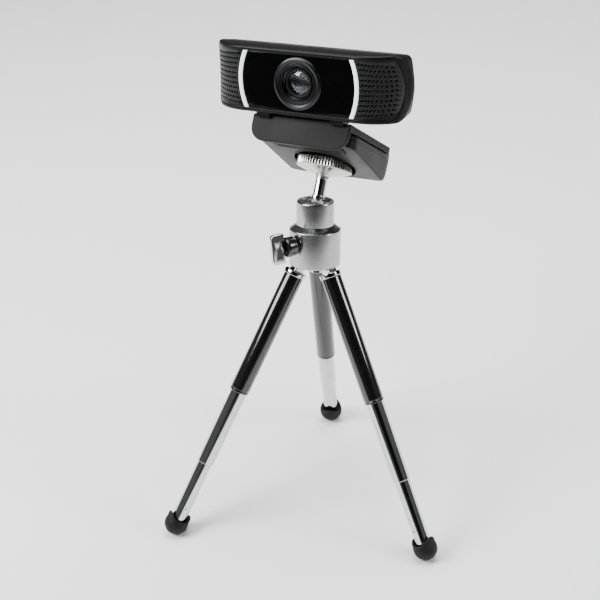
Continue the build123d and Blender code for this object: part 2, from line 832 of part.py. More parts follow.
def light_arc():
    """Right light pipe."""
    outer, inner = arc_band(0)
    band = (outer - inner) & block(0, 60, -5, cam_taper_start / 2, -60, 60)
    return skin(0, arc_depth) & band & window_prism(seam)


def face_plate():
    """Glossy plate between the light arcs, with the lens hole."""
    _, right = arc_band(seam)
    left = mirror(right, Plane.YZ)
    plate = skin(face_sunk, face_thickness) & right & left & window_prism(seam)
    return plate - round_y(-5, 10, lens_ring_radius + seam)


def grille():
    """Right microphone grille, perforated in columns that follow the light arc."""
    outer, _ = arc_band(seam)
    panel = skin(grille_sunk, grille_sunk + grille_thickness) & window_prism(seam)
    panel = (panel & block(0, 60, -5, 40, -60, 60)) - outer
    holes = []
    for column in range(grille_columns):
        for row in range(grille_rows):
            height = (row - (grille_rows - 1) / 2) * grille_pitch * (1 - grille_row_narrowing * column)
            arc_x = sqrt(arc_radius**2 - height**2) - arc_centre
            across = arc_x + arc_width / 2 + grille_first_column + column * grille_column_pitch
            holes.append(Pos(across, 6, height) * Rot(90, 0, 0) * Cylinder(grille_hole_radius, 14))
    return panel - Compound(holes)


def front_frame():
    """Front half of the case, with its window, hinge block and pockets for the arms."""
    shell = (cam_body(0) - cam_body(cam_wall)) & block(-60, 60, -5, cam_seam, -60, 60)
    shell -= window_prism(0)
    shell += (window_prism(-cam_wall) - window_prism(window_ledge)) & skin(arc_depth + seam, arc_depth + 1.0)
    tie = tilt_block_foot
    hinge = Pos(0, pivot_back, -pivot_drop) * round_x(-tilt_block_half, tilt_block_half, tilt_block_radius)
    half = tilt_block_half
    hinge += block(-half, half, pivot_back - tie, pivot_back + tie, -cam_half_height, -pivot_drop)
    shell += hinge & cam_body(0)
    for side in (-1, 1):
        for rise in (-1, 1):
            boss = Pos(side * case_screw_x, 0, rise * case_screw_z)
            low, high = sorted((rise * case_screw_z, rise * cam_half_height))
            web = Pos(side * case_screw_x, 0, 0) * block(-1, 1, arc_depth + 1, cam_seam, low, high)
            shell += (boss * round_y(arc_depth, cam_seam, case_boss_radius)) & cam_body(arc_depth + seam)
            shell += web & cam_body(cam_wall / 2)
            shell -= boss * round_y(arc_depth + 2, cam_seam + 1, case_screw_radius)
        shell -= arm_pocket(side)
    pin = round_x(-tilt_block_half, tilt_block_half, tilt_pin_radius)
    return shell - Pos(0, pivot_back, -pivot_drop) * pin


def arm_pocket(side):
    """Room for a tilt arm over its whole travel, seen in the webcam's frame."""
    x0, x1 = sorted((side * (tilt_arm_inner - gap), side * (tilt_pin_half + pocket_play)))
    reach = tilt_arm_radius + gap
    pocket = Pos(0, pivot_back, -pivot_drop) * round_x(x0, x1, reach)
    bottom = -cam_half_height - 1
    outline = Polyline(
        (pivot_back + reach, -pivot_drop),
        (pivot_back + reach, bottom),
        (pocket_front, bottom),
        (pocket_front, -cam_half_height + pocket_sill),
        (pivot_back - reach * 0.8, -pivot_drop + reach * 0.6),
        close=True,
    )
    return pocket + Pos(x0, 0, 0) * extrude(Plane.YZ * make_face(outline), x1 - x0)


def rear_cover():
    """Back half of the case, with board bosses, screw tubes and the cable hole."""
    shell = (cam_body(0) - cam_body(cam_wall)) & block(-60, 60, cam_seam + seam, 60, -60, 60)
    for side in (-1, 1):
        board_boss = Pos(side * board_boss_x, 0, 0)
        pillar = board_boss * round_y(board_front + board_thickness, cam_depth, board_boss_radius)
        shell += pillar & cam_body(cam_wall / 2)
        shell -= board_boss * round_y(board_front, board_front + board_screw_length, board_screw_radius)
        for rise in (-1, 1):
            tube = Pos(side * case_screw_x, 0, rise * case_screw_z)
            shell += (tube * round_y(cam_seam + seam, cam_depth, case_boss_radius)) & cam_body(0)
            shell -= tube * round_y(cam_seam, cam_depth, case_screw_radius + seam)
            shell -= tube * round_y(case_head_start(), cam_depth + 1, case_screw_head + seam)
    return shell - round_y(cam_depth - cable_bush_length, cam_depth + 1, cable_bush_radius)


def case_head_start():
    """Where the case screws' heads begin."""
    return cam_depth - case_screw_sunk


def cable_bush():
    """Round rubber bush around the cable's way in, with its bore open."""
    back = cam_depth
    bush = round_y(back - cable_bush_length + cable_bush_proud, back + cable_bush_proud, cable_bush_radius)
    bush += round_y(back, back + cable_bush_proud, cable_bush_radius + cable_bush_flange)
    return bush - round_y(back - cable_bush_length, back + cable_bush_proud + 1, cable_radius)


def lens_ring():
    """Stepped trim ring round the lens."""
    ring = round_y(-lens_ring_proud, lens_ring_depth, lens_ring_radius)
    ring = chamfer(ring.edges().group_by(Axis.Y)[0], lens_ring_edge)
    ring -= round_y(lens_cone_depth, lens_ring_depth + 1, barrel_radius)
    deep = lens_cone_depth + lens_ring_proud
    funnel = turned((0, 0), (lens_cone_radius, 0), (barrel_radius, deep), (0, deep))
    return ring - Pos(0, -lens_ring_proud, 0) * Rot(-90, 0, 0) * funnel


def lens_barrel():
    """Threaded barrel that carries the glass."""
    barrel = round_y(barrel_front, barrel_back, barrel_radius)
    barrel -= round_y(barrel_front - 1, glass_front, glass_radius + 0.5)
    barrel -= round_y(glass_front - 0.1, glass_front + glass_thickness, glass_radius)
    barrel -= round_y(inner_lens_front, inner_lens_front + inner_lens_thickness, inner_lens_radius)
    return barrel - round_y(barrel_front - 1, barrel_back + 1, inner_lens_radius - 0.8)


def lens_glass():
    """Domed front element."""
    disc = round_y(glass_front, glass_front + glass_thickness, glass_radius)
    dome_radius = (glass_radius**2 + glass_bulge**2) / (2 * glass_bulge)
    dome = Pos(0, glass_front - glass_bulge + dome_radius, 0) * Sphere(dome_radius)
    return disc + (dome & round_y(glass_front - glass_bulge, glass_front, glass_radius))


def inner_lens():
    """Second element, deeper in the barrel."""
    return round_y(inner_lens_front, inner_lens_front + inner_lens_thickness, inner_lens_radius)


def lens_holder():
    """Square holder between the barrel and the sensor board."""
    low = block(-holder_half, holder_half, holder_front, holder_back, -holder_low, holder_half)
    low -= round_y(holder_front - 1, barrel_back, barrel_radius)
    room = chip_half + 1
    return low - block(-room, room, barrel_back - 1, holder_back + 1, -room, room)


def image_sensor():
    """Sensor chip."""
    return block(-chip_half, chip_half, holder_back - chip_thickness, holder_back, -chip_half, chip_half)


def sensor_board():
    """Small board behind the lens."""
    wide = sensor_board_half_width
    high = sensor_board_half_height
    return block(-wide, wide, holder_back, holder_back + sensor_board_thickness, -high, high)


def board_connector():
    """Board-to-board connector."""
    wide = connector_half_width
    high = connector_half_height
    return block(-wide, wide, holder_back + sensor_board_thickness, board_front, -high, high)


def main_board():
    """Main circuit board."""
    wide = board_half_width
    high = board_half_height
    board = block(-wide, wide, board_front, board_front + board_thickness, -high, high)
    for side in (-1, 1):
        hole = round_y(board_front - 1, board_front + 5, board_screw_radius)
        board -= Pos(side * board_boss_x, 0, 0) * hole
    return board


def board_screws():
    """Two screws that hold the main board."""
    screw = round_y(board_front, board_front + board_screw_length, board_screw_radius)
    screw += round_y(board_front - board_screw_head_height, board_front, board_screw_head)
    return [Pos(side * board_boss_x, 0, 0) * screw for side in (-1, 1)]


def microphones():
    """Two microphone capsules on the board, behind the grilles."""
    capsule = round_y(board_front - mic_height, board_front, mic_radius)
    return [Pos(side * mic_x, 0, 0) * capsule for side in (-1, 1)]


def status_leds():
    """Two light-emitting diodes behind each light arc."""
    leds = []
    for side in (-1, 1):
        for rise in (-led_height, led_height):
            across = side * (sqrt(arc_radius**2 - rise**2) - arc_centre)
            x0 = across - led_half_width
            z0 = rise - led_half_height
            x1 = x0 + 2 * led_half_width
            chip = block(x0, x1, 1, 1 + arc_depth + led_depth, z0, z0 + 2 * led_half_height)
            leds.append(chip - (cam_body(0) - cam_body(arc_depth)))
    return leds


def case_screws():
    """Four screws that join the halves of the case."""
    start = case_head_start()
    screw = round_y(start - case_screw_length, start, case_screw_radius)
    screw += round_y(start, start + case_screw_head_height, case_screw_head)
    screw -= block(-1.2, 1.2, start + case_screw_head_height / 2, cam_depth, -0.2, 0.2)
    return [Pos(side * case_screw_x, 0, rise * case_screw_z) * screw for side in (-1, 1) for rise in (-1, 1)]


def tilt_pin():
    """Pin of the tilt hinge, pressed into the webcam's hinge block."""
    return Pos(0, pivot_back, -pivot_drop) * round_x(-tilt_pin_half, tilt_pin_half, tilt_pin_radius)


# ---- Placing and writing


def write(name, plane, shape):
    """Places a piece, or a list of like pieces, and writes it as parts/NAME.step."""
    pieces = shape if isinstance(shape, list) else [shape]
    solids = []
    for piece in pieces:
        placed = ground.to_local_coords(plane * piece if plane else piece)
        solids.extend(placed.solids())
    result = solids[0] if len(solids) == 1 else Compound(solids)
    result.label = name
    export_step(result, os.path.join("parts", name + ".step"))


os.makedirs("parts", exist_ok=True)

for name, leg in legs.items():
    plane = leg_plane(leg["azimuth"])
    write(name + "_leg_cap", plane, leg_cap())
    write(name + "_leg_tube", plane, leg_tube())
    write(name + "_mid_tube", plane, mid_tube(leg))
    write(name + "_low_tube", plane, low_tube(leg))
    write(name + "_rubber_foot", plane, rubber_foot(leg))

for make in (head_body, head_cap, leg_yoke, leg_pins, yoke_screws, ball_seat):
    write(make.__name__, None, make())

for make in (clamp_plunger, clamp_screw, knob_hub):
    write(make.__name__, knob_plane, make())
write("knob_wing", knob_plane, wing_blank())

for make in (ball, stem, camera_screw, lock_wheel, wheel_pad):
    write(make.__name__, clip_plane, make())
for make in (foot_shell, foot_cover, thread_insert, fold_pin, shelf, lip_pad):
    write(make.__name__, clip_plane, make())
write("under_pad", clip_plane, under_pad_blank())

arc = light_arc()
write("light_arc_right", cam_plane, arc)
write("light_arc_left", cam_plane, mirror(arc, Plane.YZ))
panel = grille()
write("grille_right", cam_plane, panel)
write("grille_left", cam_plane, mirror(panel, Plane.YZ))
for make in (front_frame, rear_cover, face_plate, lens_ring):
    write(make.__name__, cam_plane, make())
for make in (lens_barrel, lens_glass, inner_lens, lens_holder):
    write(make.__name__, cam_plane, make())
for make in (image_sensor, sensor_board, board_connector, main_board, board_screws, microphones, status_leds):
    write(make.__name__, cam_plane, make())
for make in (case_screws, tilt_pin, cable_bush):
    write(make.__name__, cam_plane, make())
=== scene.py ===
import json
from math import acos, asin, atan2, cos, hypot, pi, radians, sin, sqrt, tan

import bmesh
import bpy
from mathutils import Matrix, Vector


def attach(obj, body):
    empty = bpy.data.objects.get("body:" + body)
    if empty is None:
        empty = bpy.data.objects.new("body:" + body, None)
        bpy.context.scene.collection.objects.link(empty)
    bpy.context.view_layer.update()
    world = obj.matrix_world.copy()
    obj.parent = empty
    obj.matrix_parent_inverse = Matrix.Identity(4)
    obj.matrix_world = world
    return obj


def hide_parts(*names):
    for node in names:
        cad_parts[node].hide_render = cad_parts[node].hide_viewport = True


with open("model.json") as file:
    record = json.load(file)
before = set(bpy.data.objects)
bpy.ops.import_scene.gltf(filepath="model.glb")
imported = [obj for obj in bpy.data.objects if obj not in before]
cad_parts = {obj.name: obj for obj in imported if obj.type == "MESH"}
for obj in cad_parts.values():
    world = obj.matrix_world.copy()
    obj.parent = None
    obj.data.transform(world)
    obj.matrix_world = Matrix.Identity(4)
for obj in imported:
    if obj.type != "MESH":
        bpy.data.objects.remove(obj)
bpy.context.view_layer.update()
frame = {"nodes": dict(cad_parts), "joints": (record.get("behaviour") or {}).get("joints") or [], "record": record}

# Webcam on a small ball-head tripod. Pieces are drawn in millimetres in their own planes.
mm = 0.001
joints = {joint["name"]: joint for joint in frame["joints"]}
mounts = {mount["name"]: mount for mount in frame["record"]["mounts"]}
legNames = ("left", "right", "rear")


def jointPoint(name):
    return Vector(joints[name]["pos_m"])


def jointAxis(name):
    return Vector(joints[name]["axis"]).normalized()


def planeAt(origin, across, up):
    up = up.normalized()
    back = up.cross(across).normalized()
    plane = Matrix((back.cross(up), back, up)).transposed().to_4x4()
    plane.translation = origin
    return plane


def legPlane(name):
    along = -jointAxis(name + "_mid_slide")
    return planeAt(jointPoint(name + "_leg_fold"), jointAxis(name + "_leg_fold").cross(along), along)


webcam = dict(
    halfWidth=47.5, halfHeight=14.5, depth=24.0, flatHalf=26.0, tipBack=18.0, backHalf=34.0,
    endBulge=2.6, corner=3.4, taperStart=10.0, backSlope=2.4, seam=12.5, wall=1.6, bezel=1.9,
    edgeRound=1.1, backRound=2.4, pivotBack=8.3, pivotDrop=11.3,
)

worldRight = jointAxis("ball_tilt")
headPlane = planeAt(jointPoint("head_pan"), worldRight, jointAxis("head_pan"))
clipPlane = planeAt(jointPoint("head_pan"), worldRight, jointAxis("clip_pan"))
knobPlane = planeAt(jointPoint("knob_turn"), jointAxis("head_pan"), jointAxis("knob_turn"))
camBack = Vector(mounts["cable_inlet"]["axis"]).normalized()
camRight = jointAxis("webcam_tilt")
camUp = camRight.cross(camBack)
camOrigin = jointPoint("webcam_tilt") - camBack * webcam["pivotBack"] * mm + camUp * webcam["pivotDrop"] * mm
camPlane = planeAt(camOrigin, camRight, camUp)
print("planes ready")


class Signal:
    # one socket; arithmetic on it adds Math nodes
    def __init__(self, finish, socket):
        self.finish, self.socket = finish, socket

    def maths(self, operation, *values):
        return self.finish.node("ShaderNodeMath", {"operation": operation}, dict(enumerate(values)))

    def __add__(self, other):
        return self.maths("ADD", self, other)

    def __sub__(self, other):
        return self.maths("SUBTRACT", self, other)

    def __rsub__(self, other):
        return self.maths("SUBTRACT", other, self)

    def __mul__(self, other):
        return self.maths("MULTIPLY", self, other)

    def __truediv__(self, other):
        return self.maths("DIVIDE", self, other)

    __radd__, __rmul__ = __add__, __mul__


class Finish:
    # a material whose uniform values sit on the shader itself
    def __init__(self, name, **values):
        self.material = bpy.data.materials.new(name)
        self.material.use_nodes = True
        self.tree = self.material.node_tree
        self.shader = self.tree.nodes["Principled BSDF"]
        self.position = self.node("ShaderNodeTexCoord", output="Object")
        for socket, value in values.items():
            self.shader.inputs[socket.replace("_", " ")].default_value = value

    def node(self, kind, settings=None, sockets=None, output=0):
        made = self.tree.nodes.new(kind)
        for key, value in (settings or {}).items():
            if key == "stops":
                for at, (place, level) in enumerate(value):
                    stop = made.color_ramp.elements[at] if at < 2 else made.color_ramp.elements.new(place)
                    stop.position, stop.color = place, (level, level, level, 1)
            else:
                setattr(made, key, value)
        for key, value in (sockets or {}).items():
            if isinstance(value, Signal):
                self.tree.links.new(value.socket, made.inputs[key])
            else:
                made.inputs[key].default_value = value
        return Signal(self, made.outputs[output])

    def noise(self, size, detail=2, stretch=(1, 1, 1)):
        # size is the pattern's grain in millimetres
        scaled = self.node("ShaderNodeVectorMath", {"operation": "MULTIPLY"}, {0: self.position, 1: stretch})
        return self.node("ShaderNodeTexNoise", None, {"Vector": scaled, "Scale": 1000 / size, "Detail": detail})

    def ramp(self, signal, low, high):
        return self.node("ShaderNodeMapRange", {"interpolation_type": "SMOOTHSTEP"}, {0: signal, 1: low, 2: high})

    def blend(self, first, second, mask):
        return self.node("ShaderNodeMix", {"data_type": "RGBA"}, {0: mask, 6: first, 7: second}, 2)

    def feed(self, **signals):
        for socket, signal in signals.items():
            self.tree.links.new(signal.socket, self.shader.inputs[socket.replace("_", " ")])
        return self

    def relief(self, height, strength, depth):
        # depth is the relief's height in millimetres
        bump = self.node("ShaderNodeBump", None, {"Height": height, "Strength": strength, "Distance": depth * mm})
        return self.feed(Normal=bump)


def grey(level, tint=0.0):
    return (level, level, level * (1 + tint), 1)


def mouldedPlastic(name, level, roughness, grain, depth, specular=0.5, tint=0.04):
    # fine spark-eroded grain, with faint handling marks in the sheen
    finish = Finish(name, Specular_IOR_Level=specular)
    patches = finish.ramp(finish.noise(14, 3), 0.35, 0.7)
    dust = finish.ramp(finish.noise(0.5, 1), 0.62, 0.74)
    shade = finish.blend(grey(level, tint), grey(level * 1.22, tint), patches)
    finish.feed(Base_Color=finish.blend(shade, grey(level * 1.9, tint), dust * 0.3))
    finish.feed(Roughness=roughness + (patches - 0.5) * 0.07 + dust * 0.05)
    fine = finish.noise(grain, 2)
    return finish.relief(fine + finish.noise(grain * 2.7, 1) * 0.6, 0.5, depth)


def glossPlastic(name, level, roughness, coat=0.0, orangePeel=0.0, specular=0.5):
    finish = Finish(name, Coat_Weight=coat, Coat_Roughness=0.03, Specular_IOR_Level=specular)
    smudges = finish.ramp(finish.noise(9, 4), 0.5, 0.75)
    finish.feed(Base_Color=finish.blend(grey(level, 0.05), grey(level * 1.4, 0.05), smudges))
    finish.feed(Roughness=roughness + smudges * 0.035)
    if orangePeel:
        finish.relief(finish.noise(1.6, 1), 0.25, orangePeel)
    return finish


def platedMetal(name, colour, roughness, wear=0.05):
    # bright plate with faint haze, darker where haze gathers
    finish = Finish(name, Metallic=1.0)
    haze = finish.ramp(finish.noise(7, 4), 0.45, 0.8)
    streaks = finish.noise(0.6, 2, (1, 1, 0.06))
    dull = tuple(channel * 0.86 for channel in colour[:3]) + (1,)
    finish.feed(Base_Color=finish.blend(colour, dull, haze))
    finish.feed(Roughness=roughness + haze * wear + streaks * wear * 0.5)
    return finish.relief(streaks, 0.04, 0.01)


def turnedMetal(name, colour, roughness, groove, strength, axisStretch):
    # fine lathe marks round the axis, crossed by a soft satin haze
    finish = Finish(name, Metallic=1.0)
    marks = finish.noise(groove, 3, axisStretch)
    haze = finish.ramp(finish.noise(5, 4), 0.4, 0.75)
    grain = finish.noise(0.18, 1)
    dull = tuple(channel * 0.84 for channel in colour[:3]) + (1,)
    finish.feed(Base_Color=finish.blend(colour, dull, marks * 0.6 + haze * 0.3))
    finish.feed(Roughness=roughness + (marks - 0.5) * 0.16 + haze * 0.04)
    return finish.relief(marks + grain * 0.25, strength, 0.02)


def rubber(name, level):
    finish = Finish(name, Specular_IOR_Level=0.2)
    bloom = finish.ramp(finish.noise(3.5, 4), 0.4, 0.75)
    pores = finish.noise(0.22, 2)
    finish.feed(Base_Color=finish.blend(grey(level), grey(level * 1.9), bloom))
    finish.feed(Roughness=0.56 + bloom * 0.14)
    return finish.relief(pores + bloom * 0.5, 0.4, 0.05)


def coatedGlass(name, tint, transmission):
    # two thin coatings that show violet head on and green at a slant
    finish = Finish(
        name, Roughness=0.015, IOR=1.5, Transmission_Weight=transmission, Coat_Weight=0.2, Coat_Roughness=0.01,
        Specular_IOR_Level=0.35
    )
    slant = finish.node("ShaderNodeLayerWeight", None, {"Blend": 0.35}, "Facing")
    return finish.feed(Base_Color=finish.blend(tint[0], tint[1], slant))


def lightPipe(name):
    # milky diffuser with tiny scattering flecks
    finish = Finish(name, Roughness=0.3, Emission_Strength=0.75, Coat_Weight=0.3, Coat_Roughness=0.2)
    flecks = finish.ramp(finish.noise(0.4, 2), 0.55, 0.7)
    glow = finish.blend((0.93, 0.95, 1.0, 1), (1, 1, 1, 1), flecks)
    return finish.feed(Base_Color=glow, Emission_Color=glow)


def circuitBoard(name):
    # solder mask over copper tracks
    finish = Finish(name, Roughness=0.35, Coat_Weight=0.4, Coat_Roughness=0.15)
    tracks = finish.ramp(finish.noise(1.4, 0, (1, 1, 0.25)), 0.47, 0.53)
    finish.feed(Base_Color=finish.blend((0.012, 0.09, 0.035, 1), (0.03, 0.2, 0.08, 1), tracks))
    return finish.relief(tracks, 0.5, 0.05)


finishes = dict(
    satinBlack=mouldedPlastic("satinBlack", 0.0035, 0.36, 0.3, 0.02, 0.14),
    clipBlack=mouldedPlastic("clipBlack", 0.003, 0.4, 0.28, 0.03, 0.16),
    lipGrey=mouldedPlastic("lipGrey", 0.0095, 0.6, 0.24, 0.05, 0.15, 0.0),
    grilleBlack=mouldedPlastic("grilleBlack", 0.007, 0.34, 0.22, 0.012, 0.3),
    faceGloss=glossPlastic("faceGloss", 0.0015, 0.04, 0.0, 0.0, 0.07),
    barrelBlack=mouldedPlastic("barrelBlack", 0.004, 0.42, 0.2, 0.02, 0.2),
    ringDark=turnedMetal("ringDark", (0.035, 0.035, 0.037, 1), 0.3, 0.3, 0.12, (1, 0.02, 1)),
    frontGlass=coatedGlass("frontGlass", ((0.86, 0.84, 0.97, 1), (0.8, 0.97, 0.9, 1)), 1.0),
    # the inner lens is opaque and near black: the black parts behind it plus painted shade for their unlit inside;
    # its coatings tint it violet head on and green at a slant
    innerGlass=coatedGlass("innerGlass", ((0.012, 0.009, 0.022, 1), (0.006, 0.016, 0.014, 1)), 0.0),
    lightWhite=lightPipe("lightWhite"),
    rubberBlack=rubber("rubberBlack", 0.004),
    chromePlate=platedMetal("chromePlate", (0.62, 0.62, 0.63, 1), 0.035),
    nickelPlate=platedMetal("nickelPlate", (0.55, 0.545, 0.535, 1), 0.2, 0.08),
    headSatin=turnedMetal("headSatin", (0.4, 0.4, 0.405, 1), 0.22, 0.5, 0.1, (0.03, 0.03, 1)),
    castMetal=turnedMetal("castMetal", (0.42, 0.42, 0.43, 1), 0.42, 0.6, 0.5, (1, 1, 1)),
    tubeEnamel=glossPlastic("tubeEnamel", 0.004, 0.13, 0.6, 0.02),
    hubEnamel=glossPlastic("hubEnamel", 0.006, 0.2, 0.5, 0.04),
    brightSteel=platedMetal("brightSteel", (0.6, 0.6, 0.61, 1), 0.2, 0.1),
    turnedBrass=turnedMetal("turnedBrass", (0.8, 0.58, 0.26, 1), 0.24, 0.3, 0.15, (1, 1, 0.1)),
    nylonWhite=mouldedPlastic("nylonWhite", 0.7, 0.45, 0.4, 0.02, 0.4, -0.03),
    boardGreen=circuitBoard("boardGreen"),
    chipBlack=glossPlastic("chipBlack", 0.015, 0.3),
)
print("finishes ready:", len(finishes))


def softCorners(points, closed=False, steps=5):
    # rounds each corner that carries a third value, its radius
    made = []
    count = len(points)
    for at, point in enumerate(points):
        here = Vector(point[:2])
        radius = point[2] if len(point) > 2 else 0
        if not radius or (not closed and at in (0, count - 1)):
            made.append(tuple(here))
            continue
        before = (Vector(points[at - 1][:2]) - here).normalized()
        after = (Vector(points[(at + 1) % count][:2]) - here).normalized()
        half = acos(max(-1, min(1, before.dot(after)))) / 2
        bisector = (before + after).normalized()
        centre = here + bisector * (radius / sin(half))
        start = here + before * (radius / tan(half)) - centre
        end = here + after * (radius / tan(half)) - centre
        turn = atan2(start.x * end.y - start.y * end.x, start.dot(end))
        for step in range(steps + 1):
            angle = turn * step / steps
            c, s = cos(angle), sin(angle)
            made.append((centre.x + start.x * c - start.y * s, centre.y + start.x * s + start.y * c))
    return made


def meshPiece(name, points, faces):
    mesh = bpy.data.meshes.new(name)
    mesh.from_pydata([tuple(value * mm for value in point) for point in points], [], faces)
    build = bmesh.new()
    build.from_mesh(mesh)
    bmesh.ops.remove_doubles(build, verts=build.verts, dist=0.0008 * mm)
    bmesh.ops.dissolve_degenerate(build, edges=build.edges, dist=0.0005 * mm)
    bmesh.ops.recalc_face_normals(build, faces=build.faces)
    build.to_mesh(mesh)
    build.free()
    piece = bpy.data.objects.new(name, mesh)
    bpy.context.scene.collection.objects.link(piece)
    return piece


def ringFaces(ringCount, ringSize, start=0, closeRings=False):
    faces = []
    for ring in range(ringCount if closeRings else ringCount - 1):
        low, high = start + ring * ringSize, start + (ring + 1) % ringCount * ringSize
        for at in range(ringSize):
            after = (at + 1) % ringSize
            faces.append((low + at, low + after, high + after, high + at))
    return faces


def ringPiece(name, rings, closeRings=False):
    # one shell through equal rings, with its two ends filled or joined
    count, size = len(rings), len(rings[0])
    faces = ringFaces(count, size, 0, closeRings)
    if not closeRings:
        faces += [tuple(range(size)), tuple(range((count - 1) * size, count * size))]
    return meshPiece(name, [point for ring in rings for point in ring], faces)


def turned(name, profile, axis="z", steps=96, closed=True, shape=None):
    # turns (radius, height) points round an axis; shape may move a point by its turn
    points = []
    for radius, height in profile:
        for step in range(steps):
            angle = 2 * pi * step / steps
            r, h = shape(radius, height, angle) if shape else (radius, height)
            x, y = r * cos(angle), r * sin(angle)
            points.append((x, y, h) if axis == "z" else (x, h, y) if axis == "y" else (h, x, y))
    faces = ringFaces(len(profile), steps, 0, closed)
    if not closed:
        for ring in (0, len(profile) - 1):
            if profile[ring][0] > 0.001:
                faces.append(tuple(range(ring * steps, (ring + 1) * steps)))
    return meshPiece(name, points, faces)


def arcPoints(radius, angles, centre=(0, 0)):
    return [(centre[0] + radius * cos(a), centre[1] + radius * sin(a)) for a in angles]


def ballPoints(radius, end, steps):
    # profile of a ball from its low pole up to the angle end
    return [(radius * sin(end * k / steps), -radius * cos(end * k / steps)) for k in range(steps + 1)]


def insetLoop(loop, distance):
    made = []
    count = len(loop)
    area = sum(loop[i][0] * loop[(i + 1) % count][1] - loop[(i + 1) % count][0] * loop[i][1] for i in range(count))
    side = 1 if area > 0 else -1
    for at in range(count):
        here = Vector(loop[at])
        before = (here - Vector(loop[at - 1])).normalized()
        after = (Vector(loop[(at + 1) % count]) - here).normalized()
        inward = Vector((-(before.y + after.y), before.x + after.x)) * side
        inward.normalize()
        spread = max(0.35, inward.dot(Vector((-before.y, before.x)) * side))
        made.append(tuple(here + inward * distance / spread))
    return made


def slab(name, outline, low, high, edge=0.0, axes="xyz", steps=3):
    # a plate with rounded edges; axes names where outline's two values and its thickness go
    loop = softCorners(outline, True)
    levels = [(edge * (1 - sin(pi / 2 * k / steps)), low + edge * (1 - cos(pi / 2 * k / steps)))
              for k in range(steps + 1)] if edge else [(0, low)]
    levels += [(inset, high + low - height) for inset, height in reversed(levels)]
    order = [axes.index(letter) for letter in "xyz"]
    return ringPiece(
        name,
        [
            [tuple((u, v, height)[place] for place in order) for u, v in insetLoop(loop, inset)]
            for inset, height in levels
        ]
    )


def rod(radius, low, high, axis="z", at=(0, 0, 0), steps=48):
    piece = turned("tool", [(0, low), (radius, low), (radius, high), (0, high)], axis, steps, False)
    piece.data.transform(Matrix.Translation(Vector(at) * mm))
    return piece


def block(x0, x1, y0, y1, z0, z1):
    return slab("tool", [(x0, y0), (x1, y0), (x1, y1), (x0, y1)], z0, z1)


def combine(piece, tools, operation):
    for tool in tools:
        change = piece.modifiers.new("change", "BOOLEAN")
        change.operation, change.object, change.solver = operation, tool, "EXACT"
    bpy.context.view_layer.update()
    graph = bpy.context.evaluated_depsgraph_get()
    mesh = bpy.data.meshes.new_from_object(piece.evaluated_get(graph))
    piece.modifiers.clear()
    piece.data = mesh
    for tool in tools:
        bpy.data.objects.remove(tool)
    return piece


def gather(piece, others):
    # several closed shells in one piece
    build = bmesh.new()
    for one in [piece] + others:
        build.from_mesh(one.data)
    build.to_mesh(piece.data)
    build.free()
    for other in others:
        bpy.data.objects.remove(other)
    return piece


def settle(piece, finish, body, nodes, plane=None, sharp=32):
    # finish, shading, place, and what the piece stands for
    if plane is not None:
        piece.matrix_world = plane
    piece.data.materials.clear()
    piece.data.materials.append(finishes[finish].material)
    piece.data.polygons.foreach_set("material_index", [0] * len(piece.data.polygons))
    piece.data.shade_smooth()
    piece.data.set_sharp_from_angle(angle=radians(sharp))
    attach(piece, body)
    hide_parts(*nodes)
    return piece


# The webcam's outline and its curved plan

def circleThrough(first, second, third):
    (ax, ay), (bx, by), (cx, cy) = first, second, third
    d = 2 * (ax * (by - cy) + bx * (cy - ay) + cx * (ay - by))
    aa, bb, cc = ax * ax + ay * ay, bx * bx + by * by, cx * cx + cy * cy
    x = (aa * (by - cy) + bb * (cy - ay) + cc * (ay - by)) / d
    y = (aa * (cx - bx) + bb * (ax - cx) + cc * (bx - ax)) / d
    return x, y, hypot(ax - x, ay - y)


half, tip = webcam["halfWidth"], webcam["tipBack"]
wingCircle = circleThrough((webcam["flatHalf"], 0), (half - 7.6, 3.9), (half - 1.2, tip - 5))
tipCircle = circleThrough((half - 1.2, tip - 5), (half, tip - 2), (half - 0.9, tip + 1))
backCircle = circleThrough(
    (half - 0.9, tip + 1), (webcam["backHalf"] + 6.5, webcam["depth"] - 1.3), (webcam["backHalf"], webcam["depth"])
)


def onCircle(circle, x, side):
    return circle[1] + side * sqrt(max(0, circle[2] ** 2 - (x - circle[0]) ** 2))


def frontY(x):
    x = abs(x)
    if x <= webcam["flatHalf"]:
        return 0.0
    if x <= half - 1.2:
        return onCircle(wingCircle, x, -1)
    return onCircle(tipCircle, min(x, half), -1)


def backY(x):
    x = abs(x)
    if x <= webcam["backHalf"]:
        return webcam["depth"]
    if x <= half - 0.9:
        return onCircle(backCircle, x, 1)
    return onCircle(tipCircle, min(x, half), 1)


def taper(y):
    past = max(0.0, y - webcam["taperStart"]) / (webcam["depth"] - webcam["taperStart"])
    return 1 - past * webcam["backSlope"] / webcam["halfHeight"]


def endX(z, inset):
    # where the bulged end of the outline lies at height z
    wide, high = half - inset, webcam["halfHeight"] - inset
    radius = (high ** 2 + webcam["endBulge"] ** 2) / (2 * webcam["endBulge"])
    return wide - radius + sqrt(radius ** 2 - z ** 2)


def caseLoop(inset, top=44, corner=7, side=10):
    # quarter by quarter, with as many points at every inset
    wide, high = half - inset, webcam["halfHeight"] - inset
    radius = (high ** 2 + webcam["endBulge"] ** 2) / (2 * webcam["endBulge"])
    fillet = max(0.6, webcam["corner"] - inset / 2)
    cornerX = wide - radius + sqrt((radius - fillet) ** 2 - (high - fillet) ** 2)
    cornerZ = high - fillet
    turn = atan2(cornerZ, cornerX - wide + radius)
    quarter = [(cornerX * k / top, high) for k in range(top)]
    quarter += [(cornerX + fillet * sin(a), cornerZ + fillet * cos(a))
                for a in (k / corner * (pi / 2 - turn) for k in range(corner))]
    quarter += [(wide - radius + radius * cos(a), radius * sin(a))
                for a in (turn * (1 - k / side) for k in range(side + 1))]
    lower = [(x, -z) for x, z in reversed(quarter[:-1])]
    return quarter + lower + [(-x, -z) for x, z in quarter[1:]] + [(-x, z) for x, z in reversed(quarter[1:-1])]


